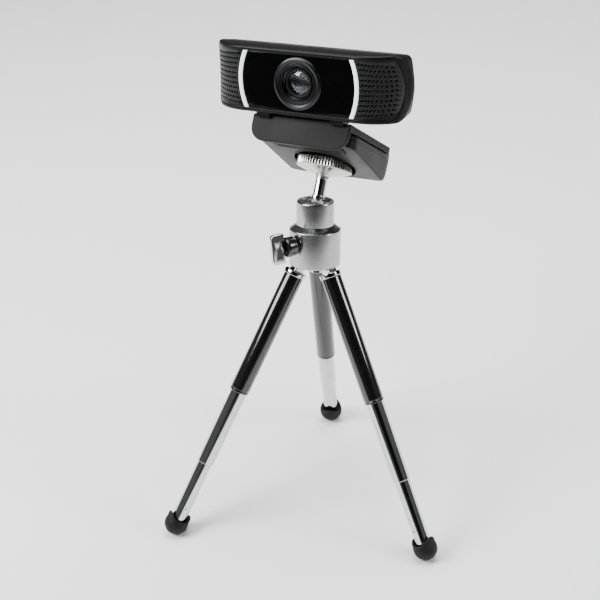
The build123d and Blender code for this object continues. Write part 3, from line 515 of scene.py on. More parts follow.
def caseRing(inset, height):
    # height turns the plan's front and back at x into this ring's y
    points = []
    outer = caseLoop(0)
    for at, (x, z) in enumerate(caseLoop(inset)):
        y = height(x, outer[at][0])
        points.append((x, y, z * taper(y)))
    return points


def seamY(outerX):
    return max(webcam["seam"], (frontY(outerX) + backY(outerX)) / 2)


def thick(x):
    return backY(x) - frontY(x)


def caseFront():
    bezel, wall, r = webcam["bezel"], webcam["wall"], webcam["edgeRound"]
    rings = [
        caseRing(bezel, lambda x, o: frontY(x) + 2.4),
        caseRing(bezel, lambda x, o: frontY(x) + 0.3),
        caseRing(bezel - 0.08, lambda x, o: frontY(x) + 0.1),
        caseRing(bezel - 0.25, lambda x, o: frontY(x) + 0.02),
        caseRing(bezel - 0.5, lambda x, o: frontY(x)),
    ]
    for step in range(7):
        a = pi / 2 * step / 6
        rings.append(caseRing(r * (1 - sin(a)), lambda x, o, a=a: frontY(x) + min(r, thick(x) / 2) * (1 - cos(a))))
    for share in (0.35, 0.7):
        rings.append(caseRing(
            0, lambda x, o, s=share: frontY(x) + (1 - s) * min(r, thick(x) / 2) + s * (seamY(o) - 0.3 - frontY(x))
        ))
    rings.append(caseRing(0, lambda x, o: seamY(o) - 0.3))
    rings.append(caseRing(0.08, lambda x, o: seamY(o) - 0.1))
    rings.append(caseRing(0.25, lambda x, o: seamY(o) - 0.05))
    rings.append(caseRing(wall, lambda x, o: seamY(o) - 0.05))
    rings.append(caseRing(wall, lambda x, o: frontY(x) + 2.4))
    return ringPiece("caseFront", rings, True)


def caseBack():
    wall, r = webcam["wall"], webcam["backRound"]
    outer = [
        caseRing(wall, lambda x, o: seamY(o) + 0.05),
        caseRing(0.25, lambda x, o: seamY(o) + 0.05),
        caseRing(0.08, lambda x, o: seamY(o) + 0.1),
        caseRing(0, lambda x, o: seamY(o) + 0.3),
    ]
    for share in (0.3, 0.65):
        outer.append(caseRing(0, lambda x, o, s=share: seamY(o) + 0.3 + s * max(0, backY(x) - r - seamY(o) - 0.3)))
    for step in range(7):
        a = pi / 2 * step / 6
        outer.append(caseRing(r * (1 - cos(a)), lambda x, o, a=a: backY(x) - min(r, thick(o) / 2) * (1 - sin(a))))
    inner = [
        caseRing(wall, lambda x, o: max(seamY(o) + 0.05, backY(x) - wall - 2)),
        caseRing(wall + 2, lambda x, o: backY(x) - wall)
    ]
    size = len(outer[0])
    points, faces = [], []

    def close(ring):
        # fills a ring with rows of points between its upper and lower halves
        rightTip = min(range(size), key=lambda at: (-ring[at][0], abs(ring[at][2])))
        leftTip = min(range(size), key=lambda at: (ring[at][0], abs(ring[at][2])))
        base = len(points)
        points.extend(ring)

        def walk(step):
            return [(leftTip + step * k) % size for k in range((rightTip - leftTip) * step % size + 1)]

        rows = 8
        table = []
        for top, bottom in zip(walk(1), walk(-1)):
            column = []
            for row in range(rows + 1):
                t = row / rows
                a, b = ring[top], ring[bottom]
                column.append(len(points))
                points.append(tuple(a[k] * (1 - t) + b[k] * t for k in range(3)))
            table.append(column)
        for left, right in zip(table, table[1:]):
            for row in range(rows):
                faces.append((left[row], right[row], right[row + 1], left[row + 1]))
        return base

    for ring in outer[:-1]:
        points.extend(ring)
    close(outer[-1])
    faces.extend(ringFaces(len(outer), size))
    start = len(points)
    points.extend(inner[0])
    last = close(inner[1])
    for at in range(size):
        after = (at + 1) % size
        faces.append((at, after, start + after, start + at))
        faces.append((start + at, start + after, last + after, last + at))
    return meshPiece("caseBack", points, faces)


def armPocket(side):
    b, d = webcam["pivotBack"], webcam["pivotDrop"]
    arc = arcPoints(2.5, [pi * k / 12 for k in range(10)], (b, -d))
    outline = [(1.3, -16.5), (b + 2.5, -16.5)] + arc + [(1.3, -13.3)]
    x0, x1 = sorted((side * 15.0, side * 21.4))
    return slab("tool", outline, x0, x1, axes="yzx")


front = caseFront()
hinge = slab(
    "tool", [(5.3, -14.2), (11.3, -14.2), (11.3, -11.3, 2), (8.3, -8.9, 1.6), (5.3, -11.3, 2)], -15, 15, 0.2,
    axes="yzx"
)
combine(front, [armPocket(-1), armPocket(1)], "DIFFERENCE")
gather(front, [hinge])
settle(front, "satinBlack", "webcam", ["front_frame"], camPlane)

screws = dict(x=29.0, z=9.4, head=1.8, sunk=3.0, tube=2.6, tubeSunk=2.9)
back = caseBack()
corners = [(sx * screws["x"], sz * screws["z"]) for sx in (-1, 1) for sz in (-1, 1)]
combine(
    back,
    [
        rod(screws["tube"], webcam["seam"] + 1, webcam["depth"] - screws["tubeSunk"], "y", (x, 0, z), 32)
        for x, z in corners
    ],
    "UNION"
)
combine(
    back,
    [
        rod(screws["head"], webcam["depth"] - screws["sunk"], webcam["depth"] + 2, "y", (x, 0, z), 32)
        for x, z in corners
    ] + [rod(3.6, webcam["depth"] - 5, webcam["depth"] + 2, "y")],
    "DIFFERENCE"
)
settle(back, "satinBlack", "webcam", ["rear_cover"], camPlane)
print("case ready")

face = dict(
    halfHeight=12.5, arcRadius=30.7, arcCentre=2.4, arcWidth=1.9, sunk=0.1, thickness=1.3, play=0.1, hole=11.85
)


def facePlate():
    radius = face["arcRadius"] - face["arcWidth"] / 2 - face["play"]
    high = face["halfHeight"]
    corner = atan2(high, sqrt(radius ** 2 - high ** 2) - face["arcCentre"])
    turns = [-corner + 2 * corner * k / 16 for k in range(16)]
    turns += [corner + (pi - 2 * corner) * k / 56 for k in range(56)]
    turns += [pi - corner + 2 * corner * k / 16 for k in range(16)]
    turns += [pi + corner + (pi - 2 * corner) * k / 56 for k in range(56)]

    def reach(a):
        c, s = cos(a), sin(a)
        toArc = sqrt(radius ** 2 - (face["arcCentre"] * s) ** 2) - face["arcCentre"] * abs(c)
        return min(toArc, high / abs(s)) if abs(s) > 1e-6 else toArc

    def ring(distance, depth):
        made = []
        for a in turns:
            r = distance(reach(a))
            x, z = r * cos(a), r * sin(a)
            made.append((x, frontY(x) + face["sunk"] + depth, z))
        return made

    hole = face["hole"]
    rings = [
        ring(lambda r: hole, face["thickness"]), ring(lambda r: hole, 0.1),
        ring(lambda r: min(hole + 0.1, r - 0.3), 0)
    ]
    rings += [ring(lambda r, t=t: (hole + 0.1) + (r - 0.2 - hole - 0.1) * t, 0) for t in (0.25, 0.5, 0.75, 1)]
    rings += [ring(lambda r: r - 0.06, 0.04), ring(lambda r: r, 0.18), ring(lambda r: r, face["thickness"])]
    return ringPiece("facePlate", rings, True)


def lightArc(side):
    high = face["halfHeight"]
    section = [
        (-0.95, 1.9), (-0.95, 0.4), (-0.86, 0.17), (-0.62, 0.03), (-0.3, 0), (0.3, 0), (0.62, 0.03), (0.86, 0.17),
        (0.95, 0.4), (0.95, 1.9)
    ]
    rings = []
    levels = [(-high, 0.25), (-high + 0.1, 0.08)] + [
        (-high + 0.35 + (2 * high - 0.7) * k / 40, 0)
        for k in range(41)
    ] + [(high - 0.1, 0.08), (high, 0.25)]
    for z, drop in levels:
        ring = []
        for across, depth in section:
            radius = face["arcRadius"] + across * (1 - drop * 0.2)
            x = sqrt(radius ** 2 - z ** 2) - face["arcCentre"]
            ring.append((side * x, frontY(x) + max(depth, drop), z))
        rings.append(ring)
    return ringPiece("lightArc", rings)


grille = dict(rows=11, columns=9, hole=0.52, first=1.7, sunk=0.3, thickness=1.0, narrowing=0.01)


def grillePanel(side):
    # a lattice of cells, each with a real round hole through the panel
    high = face["halfHeight"]
    band = face["arcRadius"] + face["arcWidth"] / 2 + face["play"]
    rows, columns = grille["rows"], grille["columns"]
    reachX = endX(0, 2.0) - (face["arcRadius"] - face["arcCentre"] + face["arcWidth"] / 2)
    pitch = (reachX - 1.4 * grille["first"]) / columns
    rise = (2 * high - 1.0) / rows

    def centre(column, row):
        z = (row - (rows - 1) / 2) * rise * (1 - grille["narrowing"] * column)
        arcX = sqrt(face["arcRadius"] ** 2 - z ** 2) - face["arcCentre"]
        return arcX + face["arcWidth"] / 2 + grille["first"] + column * pitch, z

    def corner(column, row):
        # cell corners lie midway between the holes, or on the panel's edge
        z = (row - rows / 2) * rise * (1 - grille["narrowing"] * (column - 0.5))
        z = -high if row == 0 else high if row == rows else z
        if column == 0:
            return sqrt(band ** 2 - z ** 2) - face["arcCentre"], z
        if column == columns:
            return endX(z, 2.0), z
        arcX = sqrt(face["arcRadius"] ** 2 - z ** 2) - face["arcCentre"]
        return min(arcX + face["arcWidth"] / 2 + grille["first"] + (column - 0.5) * pitch, endX(z, 2.0)), z

    points, faces = [], []
    per = 4
    count = per * 4
    for column in range(columns):
        for row in range(rows):
            ends = [
                corner(column, row), corner(column + 1, row), corner(column + 1, row + 1), corner(column, row + 1)
            ]
            middle = centre(column, row)
            rim, circle = [], []
            for edge in range(4):
                a, b = ends[edge], ends[(edge + 1) % 4]
                for k in range(per):
                    rim.append((a[0] + (b[0] - a[0]) * k / per, a[1] + (b[1] - a[1]) * k / per))
            for x, z in rim:
                reach = hypot(x - middle[0], z - middle[1])
                circle.append(((x - middle[0]) / reach, (z - middle[1]) / reach))
            layers = [
                (rim, None, 0), (circle, grille["hole"] + 0.12, 0), (circle, grille["hole"], 0.1),
                (circle, grille["hole"], grille["thickness"]), (rim, None, grille["thickness"])
            ]
            base = len(points)
            for loop, radius, depth in layers:
                for u, v in loop:
                    x, z = (u, v) if radius is None else (middle[0] + u * radius, middle[1] + v * radius)
                    points.append((side * x, frontY(x) + grille["sunk"] + depth, z))
            faces += ringFaces(len(layers), count, base)
            for edge in range(4):
                outside = (row == 0, column == columns - 1, row == rows - 1, column == 0)
                if outside[edge]:
                    for k in range(per):
                        at, after = base + edge * per + k, base + (edge * per + k + 1) % count
                        faces.append((at, after, after + 4 * count, at + 4 * count))
    return meshPiece("grille", points, faces)


def paintedShadeSheet(side):
    # thin dark sheet behind the holes: painted shade that darkens them in place of the unlit inside of the case
    high = face["halfHeight"] - 0.4
    points, faces = [], []
    columns, rows = 12, 8
    for layer in (0, 1):
        for column in range(columns + 1):
            for row in range(rows + 1):
                z = -high + 2 * high * row / rows
                low = sqrt((face["arcRadius"] + 1.2) ** 2 - z ** 2) - face["arcCentre"]
                x = low + (endX(z, 2.3) - low) * column / columns
                points.append((side * x, frontY(x) + grille["sunk"] + grille["thickness"] + 0.05 + 0.15 * layer, z))
    size = (columns + 1) * (rows + 1)
    for column in range(columns):
        for row in range(rows):
            a = column * (rows + 1) + row
            faces.append((a, a + 1, a + rows + 2, a + rows + 1))
            faces.append((size + a, size + a + 1, size + a + rows + 2, size + a + rows + 1))
    border = [column * (rows + 1) for column in range(columns + 1)] + [
        columns * (rows + 1) + row
        for row in range(1, rows + 1)
    ]
    border += [
        column * (rows + 1) + rows
        for column in range(columns - 1, -1, -1)
    ] + [row for row in range(rows - 1, 0, -1)]
    for at, one in enumerate(border):
        after = border[(at + 1) % len(border)]
        faces.append((one, after, size + after, size + one))
    return meshPiece("paintedShadeSheet", points, faces)


settle(facePlate(), "faceGloss", "webcam", ["face_plate"], camPlane)
for side, word in ((-1, "left"), (1, "right")):
    arc = lightArc(side)
    arc.name = "lightArc_" + word
    settle(arc, "lightWhite", "webcam", ["light_arc_" + word], camPlane)
    panel = grillePanel(side)
    panel.name = "grille_panel_" + word
    settle(panel, "grilleBlack", "webcam", ["grille_" + word], camPlane, 40)
    # a dark sheet behind each grille, painted shade for its holes
    shadeBacking = paintedShadeSheet(side)
    shadeBacking.name = "paintedShadeSheet_" + word
    settle(shadeBacking, "barrelBlack", "webcam", [], camPlane)
print("face ready")

lens = dict(ring=11.7, proud=0.6, depth=3.0)
ringProfile = softCorners(
    [
        (lens["ring"], lens["depth"]), (lens["ring"], 0.25, 0.2), (11.35, -0.3, 0.3), (10.5, -lens["proud"], 0.5),
        (9.35, -0.28, 0.3), (9.2, -0.05, 0.05), (8.95, -0.05, 0.05), (8.85, -0.42, 0.08), (8.55, -0.42, 0.08),
        (8.35, 0.1, 0.1), (8.05, 0.12, 0.05), (7.95, -0.1, 0.05), (7.75, -0.1, 0.08), (7.3, 1.0, 0.2),
        (6.75, 1.55, 0.1), (6.75, 2.2), (6.4, 2.2), (6.4, lens["depth"])
    ],
    False, 4
)
settle(turned("lensRing", ringProfile, "y", 128), "ringDark", "webcam", ["lens_ring"], camPlane, 50)
barrelProfile = softCorners(
    [
        (2.8, 9.0), (2.8, 6.8), (3.6, 6.8), (3.6, 5.0), (3.5, 4.2, 0.1), (4.5, 3.2), (4.9, 3.2), (4.9, 1.95),
        (5.35, 1.95), (5.4, 1.3, 0.1), (6.2, 1.2, 0.15), (6.4, 1.5, 0.1), (6.4, 9.0)
    ],
    False, 4
)
settle(
    turned("lensBarrel", barrelProfile, "y", 96), "barrelBlack", "webcam", ["lens_barrel"], camPlane,
    40
)


def dome(rim, bulge, start, thickness, steps=10):
    # profile of a lens with a domed front
    radius = (rim ** 2 + bulge ** 2) / (2 * bulge)
    made = []
    for k in range(steps + 1):
        r = rim * k / steps
        made.append((r, start + radius - sqrt(radius ** 2 - r ** 2)))
    return made + [(rim, start + bulge + thickness), (0, start + bulge + thickness)]


settle(
    turned("frontLens", dome(4.88, 0.9, 1.35, 0.9), "y", 96, False), "frontGlass", "webcam",
    ["lens_glass"], camPlane, 30
)
# inner lens drawn opaque and near black, painted shade for the dark inside of the lens
settle(
    turned("innerLens", dome(3.58, 0.9, 4.3, 1.5), "y", 96, False), "innerGlass", "webcam",
    ["inner_lens"], camPlane, 30
)
bush = softCorners(
    [(2.1, 20.6), (2.1, 25.6, 0.3), (3.9, 25.6, 0.5), (4.6, 24.05, 0.15), (3.6, 24.02), (3.6, 20.6)], False, 4
)
settle(turned("cableBush", bush, "y", 64), "rubberBlack", "webcam", ["cable_bush"], camPlane)
print("lens ready")

shelf = dict(
    half=24.0, low=32.9, high=35.9, front=-31.6, lip=2.2, lipLow=23.9, lipCorner=6.5, pinY=-29.2, pinZ=41.9,
    foldY=18.0, foldZ=31.7, knuckle=3.2, arm=2.2
)

foldAxis = shelf["foldY"], shelf["foldZ"]


def clipShelf():
    h, low, high, y0 = shelf["half"], shelf["low"], shelf["high"], shelf["front"]
    lip = slab(
        "lip",
        [
            (-h, high - 0.3, 0.8), (-h, shelf["lipLow"], shelf["lipCorner"]),
            (h, shelf["lipLow"], shelf["lipCorner"]), (h, high - 0.3, 0.8)
        ],
        y0, y0 + shelf["lip"], 0.45, "xzy"
    )
    backEdge = shelf["foldY"] - 3.5
    plate = slab(
        "tool",
        [
            (y0, low + 0.1), (y0, high, 1.2), (backEdge, high, 0.4), (backEdge, low, 0.4), (y0 + 2.4, low, 0.4),
            (y0 + 1.2, low - 0.8)
        ],
        -h, h, 0.45, "yzx"
    )
    parts = [plate]
    knuckle = slab(
        "tool",
        softCorners(
            arcPoints(
                shelf["knuckle"], [radians(d) for d in range(-160, 91, 10)], foldAxis
            ) + [(backEdge - 1, 34.9), (backEdge - 1, 33.0), (backEdge + 0.4, 33.0)],
            True
        ),
        -13.6, 13.6, 0.25, "yzx"
    )
    parts.append(knuckle)
    for side in (-1, 1):
        x0, x1 = sorted((side * 15.3, side * 20.5))
        arc = arcPoints(shelf["arm"], [pi * k / 12 for k in range(13)], (shelf["pinY"], shelf["pinZ"]))
        parts.append(slab(
            "tool", [(shelf["pinY"] - shelf["arm"], 34.0), (shelf["pinY"] + shelf["arm"], 34.0)] + arc, x0, x1, 0.3,
            "yzx"
        ))
    # low rib under the hinge, which closes the view between the arms
    parts.append(slab(
        "tool", [(-29.8, 35.4), (-28.2, 35.4), (-28.2, 36.9, 0.3), (-29.8, 36.9, 0.3)], -15.4, 15.4, axes="yzx"
    ))
    combine(lip, parts, "UNION")
    pins = [rod(1.05, -25, 25, "x", (0, shelf["pinY"], shelf["pinZ"])), rod(1.3, -15, 15, "x", (0, *foldAxis))]
    return combine(lip, pins, "DIFFERENCE")


settle(clipShelf(), "lipGrey", "clip_shelf", ["shelf"], clipPlane)


def ribbedPad(name, half, low, high, depth0, depth1, corner, axes, pitch):
    # rubber pad with shallow moulded ribs along its length
    pad = slab(
        name, [(-half, low, corner), (half, low, corner), (half, high, corner), (-half, high, corner)], depth0,
        depth1, 0.25, axes
    )
    tools = []
    at = low + corner
    while at < high - corner * 0.6:
        ends = (half - corner, at)
        groove = slab(
            "tool",
            [
                (-ends[0], at - 0.25, 0.2), (ends[0], at - 0.25, 0.2), (ends[0], at + 0.25, 0.2),
                (-ends[0], at + 0.25, 0.2)
            ],
            depth1 - 0.25, depth1 + 1, 0, axes
        )
        tools.append(groove)
        at += pitch
    return combine(pad, tools, "DIFFERENCE")


lipPad = dict(half=17.4, low=25.3, high=31.5, depth0=-29.4, depth1=-28.4, corner=1.5, axes="xzy", pitch=1.6)
settle(ribbedPad("lipPad", **lipPad), "rubberBlack", "clip_shelf", ["lip_pad"], clipPlane)
foot = dict(
    half=24.0, front=-27.0, back=20.0, low=19.9, high=32.4, corner=6.0, recess=14.5, roof=24.7, edge=0.7, knee=14.0,
    slope=radians(9.8)
)
# the underside slopes up in front of the knee
underside = Matrix.Translation(Vector((0, foot["knee"], foot["low"])) * mm) @ Matrix.Rotation(-foot["slope"], 4, "X")
padSizes = dict(half=18.0, low=-39.0, high=-30.5, depth0=-0.5, depth1=0.5, corner=2.0, axes="xyz", pitch=1.6)
underPad = ribbedPad("underPad", **padSizes)
underPad.data.transform(underside @ Matrix.Scale(-1, 4, (0, 0, 1)))
underPad.data.flip_normals()
settle(underPad, "rubberBlack", "clip_foot", ["under_pad"], clipPlane)


def undersideLift(y):
    return max(0.0, foot["knee"] - y) * tan(foot["slope"])


def clipFoot():
    # drawn ring by ring, so that its lower back edge can roll up
    loop = softCorners(
        [
            (-foot["half"], foot["front"], foot["corner"]), (foot["half"], foot["front"], foot["corner"]),
            (foot["half"], foot["back"], foot["corner"]), (-foot["half"], foot["back"], foot["corner"])
        ],
        True, 10
    )
    wide = []
    for at, (x, y) in enumerate(loop):
        after = loop[(at + 1) % len(loop)]
        gap = hypot(after[0] - x, after[1] - y)
        pieces = max(1, round(gap / 3))
        wide += [(x + (after[0] - x) * k / pieces, y + (after[1] - y) * k / pieces) for k in range(pieces)]
    levels = []
    r = foot["edge"]
    for k in range(4):
        a = pi / 2 * k / 3
        levels.append((r * (1 - sin(a)), foot["low"] + r * (1 - cos(a))))
    levels += [(0, foot["low"] + rise) for rise in (1.4, 2.2, 3.1, 4.2, 5.4, 6.6, 8.2)]
    sideLine = foot["high"] - 1.9
    levels += [
        (0, sideLine - 0.35), (0.18, sideLine - 0.2), (0.35, sideLine), (0.35, foot["high"] - 0.35),
        (0.5, foot["high"] - 0.1), (0.75, foot["high"])
    ]
    rings = []
    for inset, z in levels:
        rings.append([])
        rise = z - foot["low"]
        roll = 5.6 * (1 - sqrt(max(0, 1 - (max(0, 5.6 - rise) / 5.6) ** 2)))
        for x, y in insetLoop(wide, inset):
            share = max(0, min(1, (y - 2) / 18))
            y -= roll * share ** 2
            above = max(0, sideLine - 0.35 - z) / (sideLine - 0.35 - foot["low"])
            rings[-1].append((x, y, z + undersideLift(y) * above))
    shell = ringPiece("clipFoot", rings)
    padSlot = slab(
        "tool", [(-18.05, -39.05, 2), (18.05, -39.05, 2), (18.05, -30.45, 2), (-18.05, -30.45, 2)], -2, 0.5
    )
    padSlot.data.transform(underside)
    tools = [
        rod(foot["recess"], foot["low"] - 2, foot["roof"], "z", steps=96),
        rod(4.75, foot["roof"] - 1, foot["roof"] + 5.7), rod(3.3, foot["roof"], foot["high"] + 2),
        rod(3.5, -13.9, 13.9, "x", (0, *foldAxis)),
        block(-13.9, 13.9, shelf["foldY"] - 3.5, 30, shelf["foldZ"], 40),
        rod(1.26, -21.5, 21.5, "x", (0, *foldAxis)),
        padSlot,
    ]
    combine(shell, tools, "DIFFERENCE")
    knuckles = []
    for side in (-1, 1):
        x0, x1 = sorted((side * 13.9, side * 21.5))
        arc = arcPoints(shelf["knuckle"], [radians(d) for d in range(-170, 181, 10)], foldAxis)
        knuckles.append(slab("tool", arc, x0, x1, 0.25, "yzx"))
    low = foot["low"]
    rimProfile = softCorners(
        [(14.5, low), (14.5, low + 2), (15.6, low + 2), (15.6, low), (15.05, low - 0.35, 0.3)], True, 4
    )
    rim = turned("tool", rimProfile, "z", 96, True, lambda r, h, a: (r, h + undersideLift(r * sin(a))))
    return gather(shell, knuckles + [rim])


settle(clipFoot(), "clipBlack", "clip_foot", ["foot_shell"], clipPlane)
print("clip ready")

wheel = dict(radius=13.0, low=16.9, rim=19.7, top=23.9, ribs=56, ribDepth=0.42)


def lockWheel():
    r, w = wheel["radius"], wheel

    def ribbed(radius, height, angle):
        if radius < r - 0.7 or height < w["low"] + 0.9:
            return radius, height
        wave = 0.5 + 0.5 * cos(angle * w["ribs"])
        depth = w["ribDepth"] * (1 - wave ** 0.6)
        return radius - depth, height

    profile = softCorners(
        [
            (3.28, w["low"]), (4.3, w["low"], 0.3), (r - 0.9, w["rim"] - 0.35, 0.5), (r, w["rim"] + 0.15, 0.25),
            (r, w["top"] - 0.2, 0.2), (r - 0.35, w["top"], 0.1), (12.25, w["top"]), (12.25, w["top"] - 0.4),
            (3.28, w["top"] - 0.4)
        ],
        False, 4
    )
    return turned("lockWheel", profile, "z", wheel["ribs"] * 8, True, ribbed)


settle(lockWheel(), "nickelPlate", "wheel", ["lock_wheel"], clipPlane, 30)
padProfile = softCorners(
    [
        (3.5, 23.5), (12.2, 23.5), (12.2, 24.4, 0.3), (8.6, 24.4), (8.4, 24.2), (7.9, 24.2), (7.7, 24.4),
        (3.5, 24.4, 0.2)
    ],
    True, 3
)
settle(turned("wheelPad", padProfile), "rubberBlack", "wheel", ["wheel_pad"], clipPlane)

ballProfile = ballPoints(6.2, radians(155), 40) + [(2.85, 5.4), (2.85, 0.2), (0, 0.2)]
settle(turned("ball", ballProfile, "z", 96, False), "brightSteel", "stem", ["ball"], clipPlane)
stemProfile = softCorners(
    [
        (0, 0.2), (2.8, 0.2), (2.8, 5.7), (3.35, 5.7, 0.25), (3.35, 6.95, 0.25), (2.8, 7.2, 0.1), (2.8, 15.0, 0.2),
        (3.0, 15.2, 0.1), (3.0, 15.8, 0.15), (2.05, 15.8), (2.05, 7.8), (0, 7.8)
    ],
    False, 5
)
settle(turned("stemRod", stemProfile, "z", 96, False), "chromePlate", "stem", ["stem"], clipPlane)


def threadedScrew(name, radius, low, high, pitch, shank):
    # a real helical thread: the radius follows height and turn
    steps, levels = 48, max(8, int((high - low) / pitch * 10))
    profile = [(0, low - shank[1]), (shank[0], low - shank[1]), (shank[0], low)] if shank else [(0, low)]
    profile += [
        (radius, low + (high - low) * k / levels)
        for k in range(levels + 1)
    ] + [(radius - 0.8, high + 0.001), (0, high + 0.002)]

    def helix(r, h, angle):
        if abs(r - radius) > 1e-6:
            return r, h
        wave = abs(((h / pitch - angle / (2 * pi)) % 1) * 2 - 1)
        fade = min(1, (h - low) / pitch, (high - h) / pitch)
        return radius - wave * 0.5 * pitch * max(0, fade) - (1 - max(0, min(1, (high - h) / 0.6))) * 0.5, h

    return turned(name, profile, "z", steps, False, helix)


cameraScrew = dict(radius=3.15, low=15.85, high=29.9, pitch=1.27, shank=(2.0, 8.0))
settle(threadedScrew("cameraScrew", **cameraScrew), "brightSteel", "stem", ["camera_screw"], clipPlane, 60)
print("stem ready")

head = dict(
    radius=11.9, cap=8.65, top=5.4, shoulder=-7.9, shoulderTop=-6.1, bottom=-24.8, bore=6.5, spigot=8.1,
    spigotLow=-11.6, yokeTop=-16.2, lip=5.59, lipZ=2.8, mouth=7.29
)
bodyProfile = softCorners(
    [
        (head["spigot"], head["shoulderTop"]), (head["cap"] + 0.45, head["shoulderTop"], 0.15),
        (head["radius"], head["shoulder"], 0.7), (head["radius"], head["bottom"], 0.6),
        (head["radius"] - 1.0, head["bottom"], 0.2), (head["radius"] - 1.0, head["yokeTop"]),
        (head["bore"], head["yokeTop"]), (head["bore"], head["spigotLow"]), (head["spigot"], head["spigotLow"])
    ],
    True, 6
)
headBody = turned("headBody", bodyProfile, "z", 144)
intoHead = headPlane.inverted() @ knobPlane
hole = rod(2.1, -6.5, 3, "z", steps=40)
hole.data.transform(intoHead)
combine(headBody, [hole], "DIFFERENCE")
settle(headBody, "headSatin", "head", ["head_body"], headPlane, 30)
socket = arcPoints(6.25, [asin(head["lipZ"] / 6.25) * k / 6 for k in range(7)])
capProfile = socket + softCorners(
    [
        (head["lip"], head["lipZ"]), (head["lip"] + 0.1, head["lipZ"] + 0.3), (head["mouth"], head["top"], 0.25),
        (head["cap"], head["top"], 0.85), (head["cap"], head["shoulderTop"] + 0.25, 0.2),
        (head["spigot"] - 0.02, head["shoulderTop"] - 0.02), (head["spigot"] - 0.02, head["spigotLow"]),
        (head["bore"], head["spigotLow"]), (head["bore"], -0.01)
    ],
    False, 7
)[1:]
settle(turned("headCap", capProfile, "z", 144), "headSatin", "head", ["head_cap"], headPlane, 30)

knob = dict(hub=4.6, hubLow=0.3, hubHigh=6.1, half=7.0, low=3.5, high=13.5, thick=2.0, corner=2.0, turn=8)
hubProfile = softCorners(
    [
        (2.0, knob["hubLow"]), (3.4, knob["hubLow"], 0.2), (knob["hub"], knob["hubLow"] + 1.2, 0.5),
        (knob["hub"], knob["hubHigh"] - 0.6, 0.3), (knob["hub"] - 0.6, knob["hubHigh"], 0.2), (2.0, knob["hubHigh"])
    ],
    True, 4
)
settle(turned("knobHub", hubProfile, "z", 72), "hubEnamel", "knob", ["knob_hub"], knobPlane)


def knobWing():
    n, w = knob["hub"] - knob["thick"], knob["half"]
    neck = knob["low"] + 2.9
    wing = slab(
        "knobWing",
        [
            (-n, knob["low"]), (n, knob["low"]), (n, neck, 0.6), (w, neck, 0.7), (w, knob["high"], knob["corner"]),
            (-w, knob["high"], knob["corner"]), (-w, neck, 0.7), (-n, neck, 0.6)
        ],
        -knob["thick"] / 2, knob["thick"] / 2, 0.4, "xzy"
    )
    hollows = []
    for side in (-1, 1):
        # shallow finger hollow pressed into each face
        hollow = turned("tool", ballPoints(3.4, pi, 16), "y", 40, False)
        hollow.data.transform(
            Matrix.Translation(Vector((0, side * 4.15, 10.2)) * mm) @ Matrix.Diagonal((1.5, 1, 0.7, 1))
        )
        hollows.append(hollow)
    combine(wing, hollows, "DIFFERENCE")
    wing.data.transform(Matrix.Rotation(radians(knob["turn"]), 4, "Z"))
    return wing


settle(knobWing(), "chromePlate", "knob", ["knob_wing"], knobPlane)
print("head ready")

leg = dict(
    tube=4.65, mid=4.05, low=3.55, start=-5.39, end=-66.39, collar=5.1, collarTop=-3.19, fork=2.2, forkHalf=2.9,
    slot=1.45, midOut=dict(left=38.3, right=38.3, rear=20.8), lowOut=dict(left=33.2, right=33.2, rear=23.8),
    midLength=57.3, lowLength=53.2, foot=5.7
)


def tubeProfile(outer, wall, low, high, curl):
    # thin tube whose lower end is rolled inwards
    return softCorners(
        [
            (outer, high), (outer, low + curl, curl * 0.8), (outer - curl, low, 0.1), (outer - wall - 0.05, low),
            (outer - wall, low + 1.2), (outer - wall, high)
        ],
        True, 4
    )


def legCap():
    collar = turned(
        "legCap",
        softCorners(
            [
                (0, leg["collarTop"]), (leg["collar"], leg["collarTop"], 0.45), (leg["collar"], leg["start"], 0.3),
                (4.14, leg["start"]), (4.14, leg["start"] - 5), (0, leg["start"] - 5)
            ],
            False, 4
        ),
        "z", 96, False
    )
    arc = arcPoints(leg["fork"], [pi * k / 12 for k in range(13)])
    ears = slab(
        "tool", [(-leg["fork"], leg["collarTop"] - 1), (leg["fork"], leg["collarTop"] - 1)] + arc, -leg["forkHalf"],
        leg["forkHalf"], 0.3, "xzy"
    )
    combine(collar, [ears], "UNION")
    cutters = [block(-7, 7, -leg["slot"], leg["slot"], leg["start"] + 0.35, 4), rod(1.06, -4, 4, "y")]
    return combine(collar, cutters, "DIFFERENCE")


def rubberCup(centre, downward):
    # ball foot whose open rim rises into two lugs
    ball = ballPoints(leg["foot"], radians(108), 22)
    rim = [
        (5.38, 2.3), (5.2, 2.75), (4.85, 2.95), (4.55, 2.85), (4.2, 2.2), (3.75, 1.6), (3.56, 1.4), (3.56, -2.6),
        (0, -2.7)
    ]

    def lugs(radius, height, angle):
        if height > 2.0 and radius > 4.1:
            lift = 0.5 + 0.5 * cos(2 * angle)
            return radius + 0.15 * lift, height + 2.1 * lift ** 2 - 0.5 * (1 - lift)
        return radius, height

    cup = turned("rubberFoot", ball + rim, "z", 72, False, lugs)
    cup.data.transform(Matrix.Translation((0, 0, centre * mm)))
    floorTool = slab("tool", [(-9, -9), (9, -9), (9, 9), (-9, 9)], 5.55, 12)
    floorTool.data.transform(
        Matrix.Translation((0, 0, centre * mm)) @ Vector((0, 0, 1)).rotation_difference(downward).to_matrix().to_4x4()
    )
    return combine(cup, [floorTool], "DIFFERENCE")


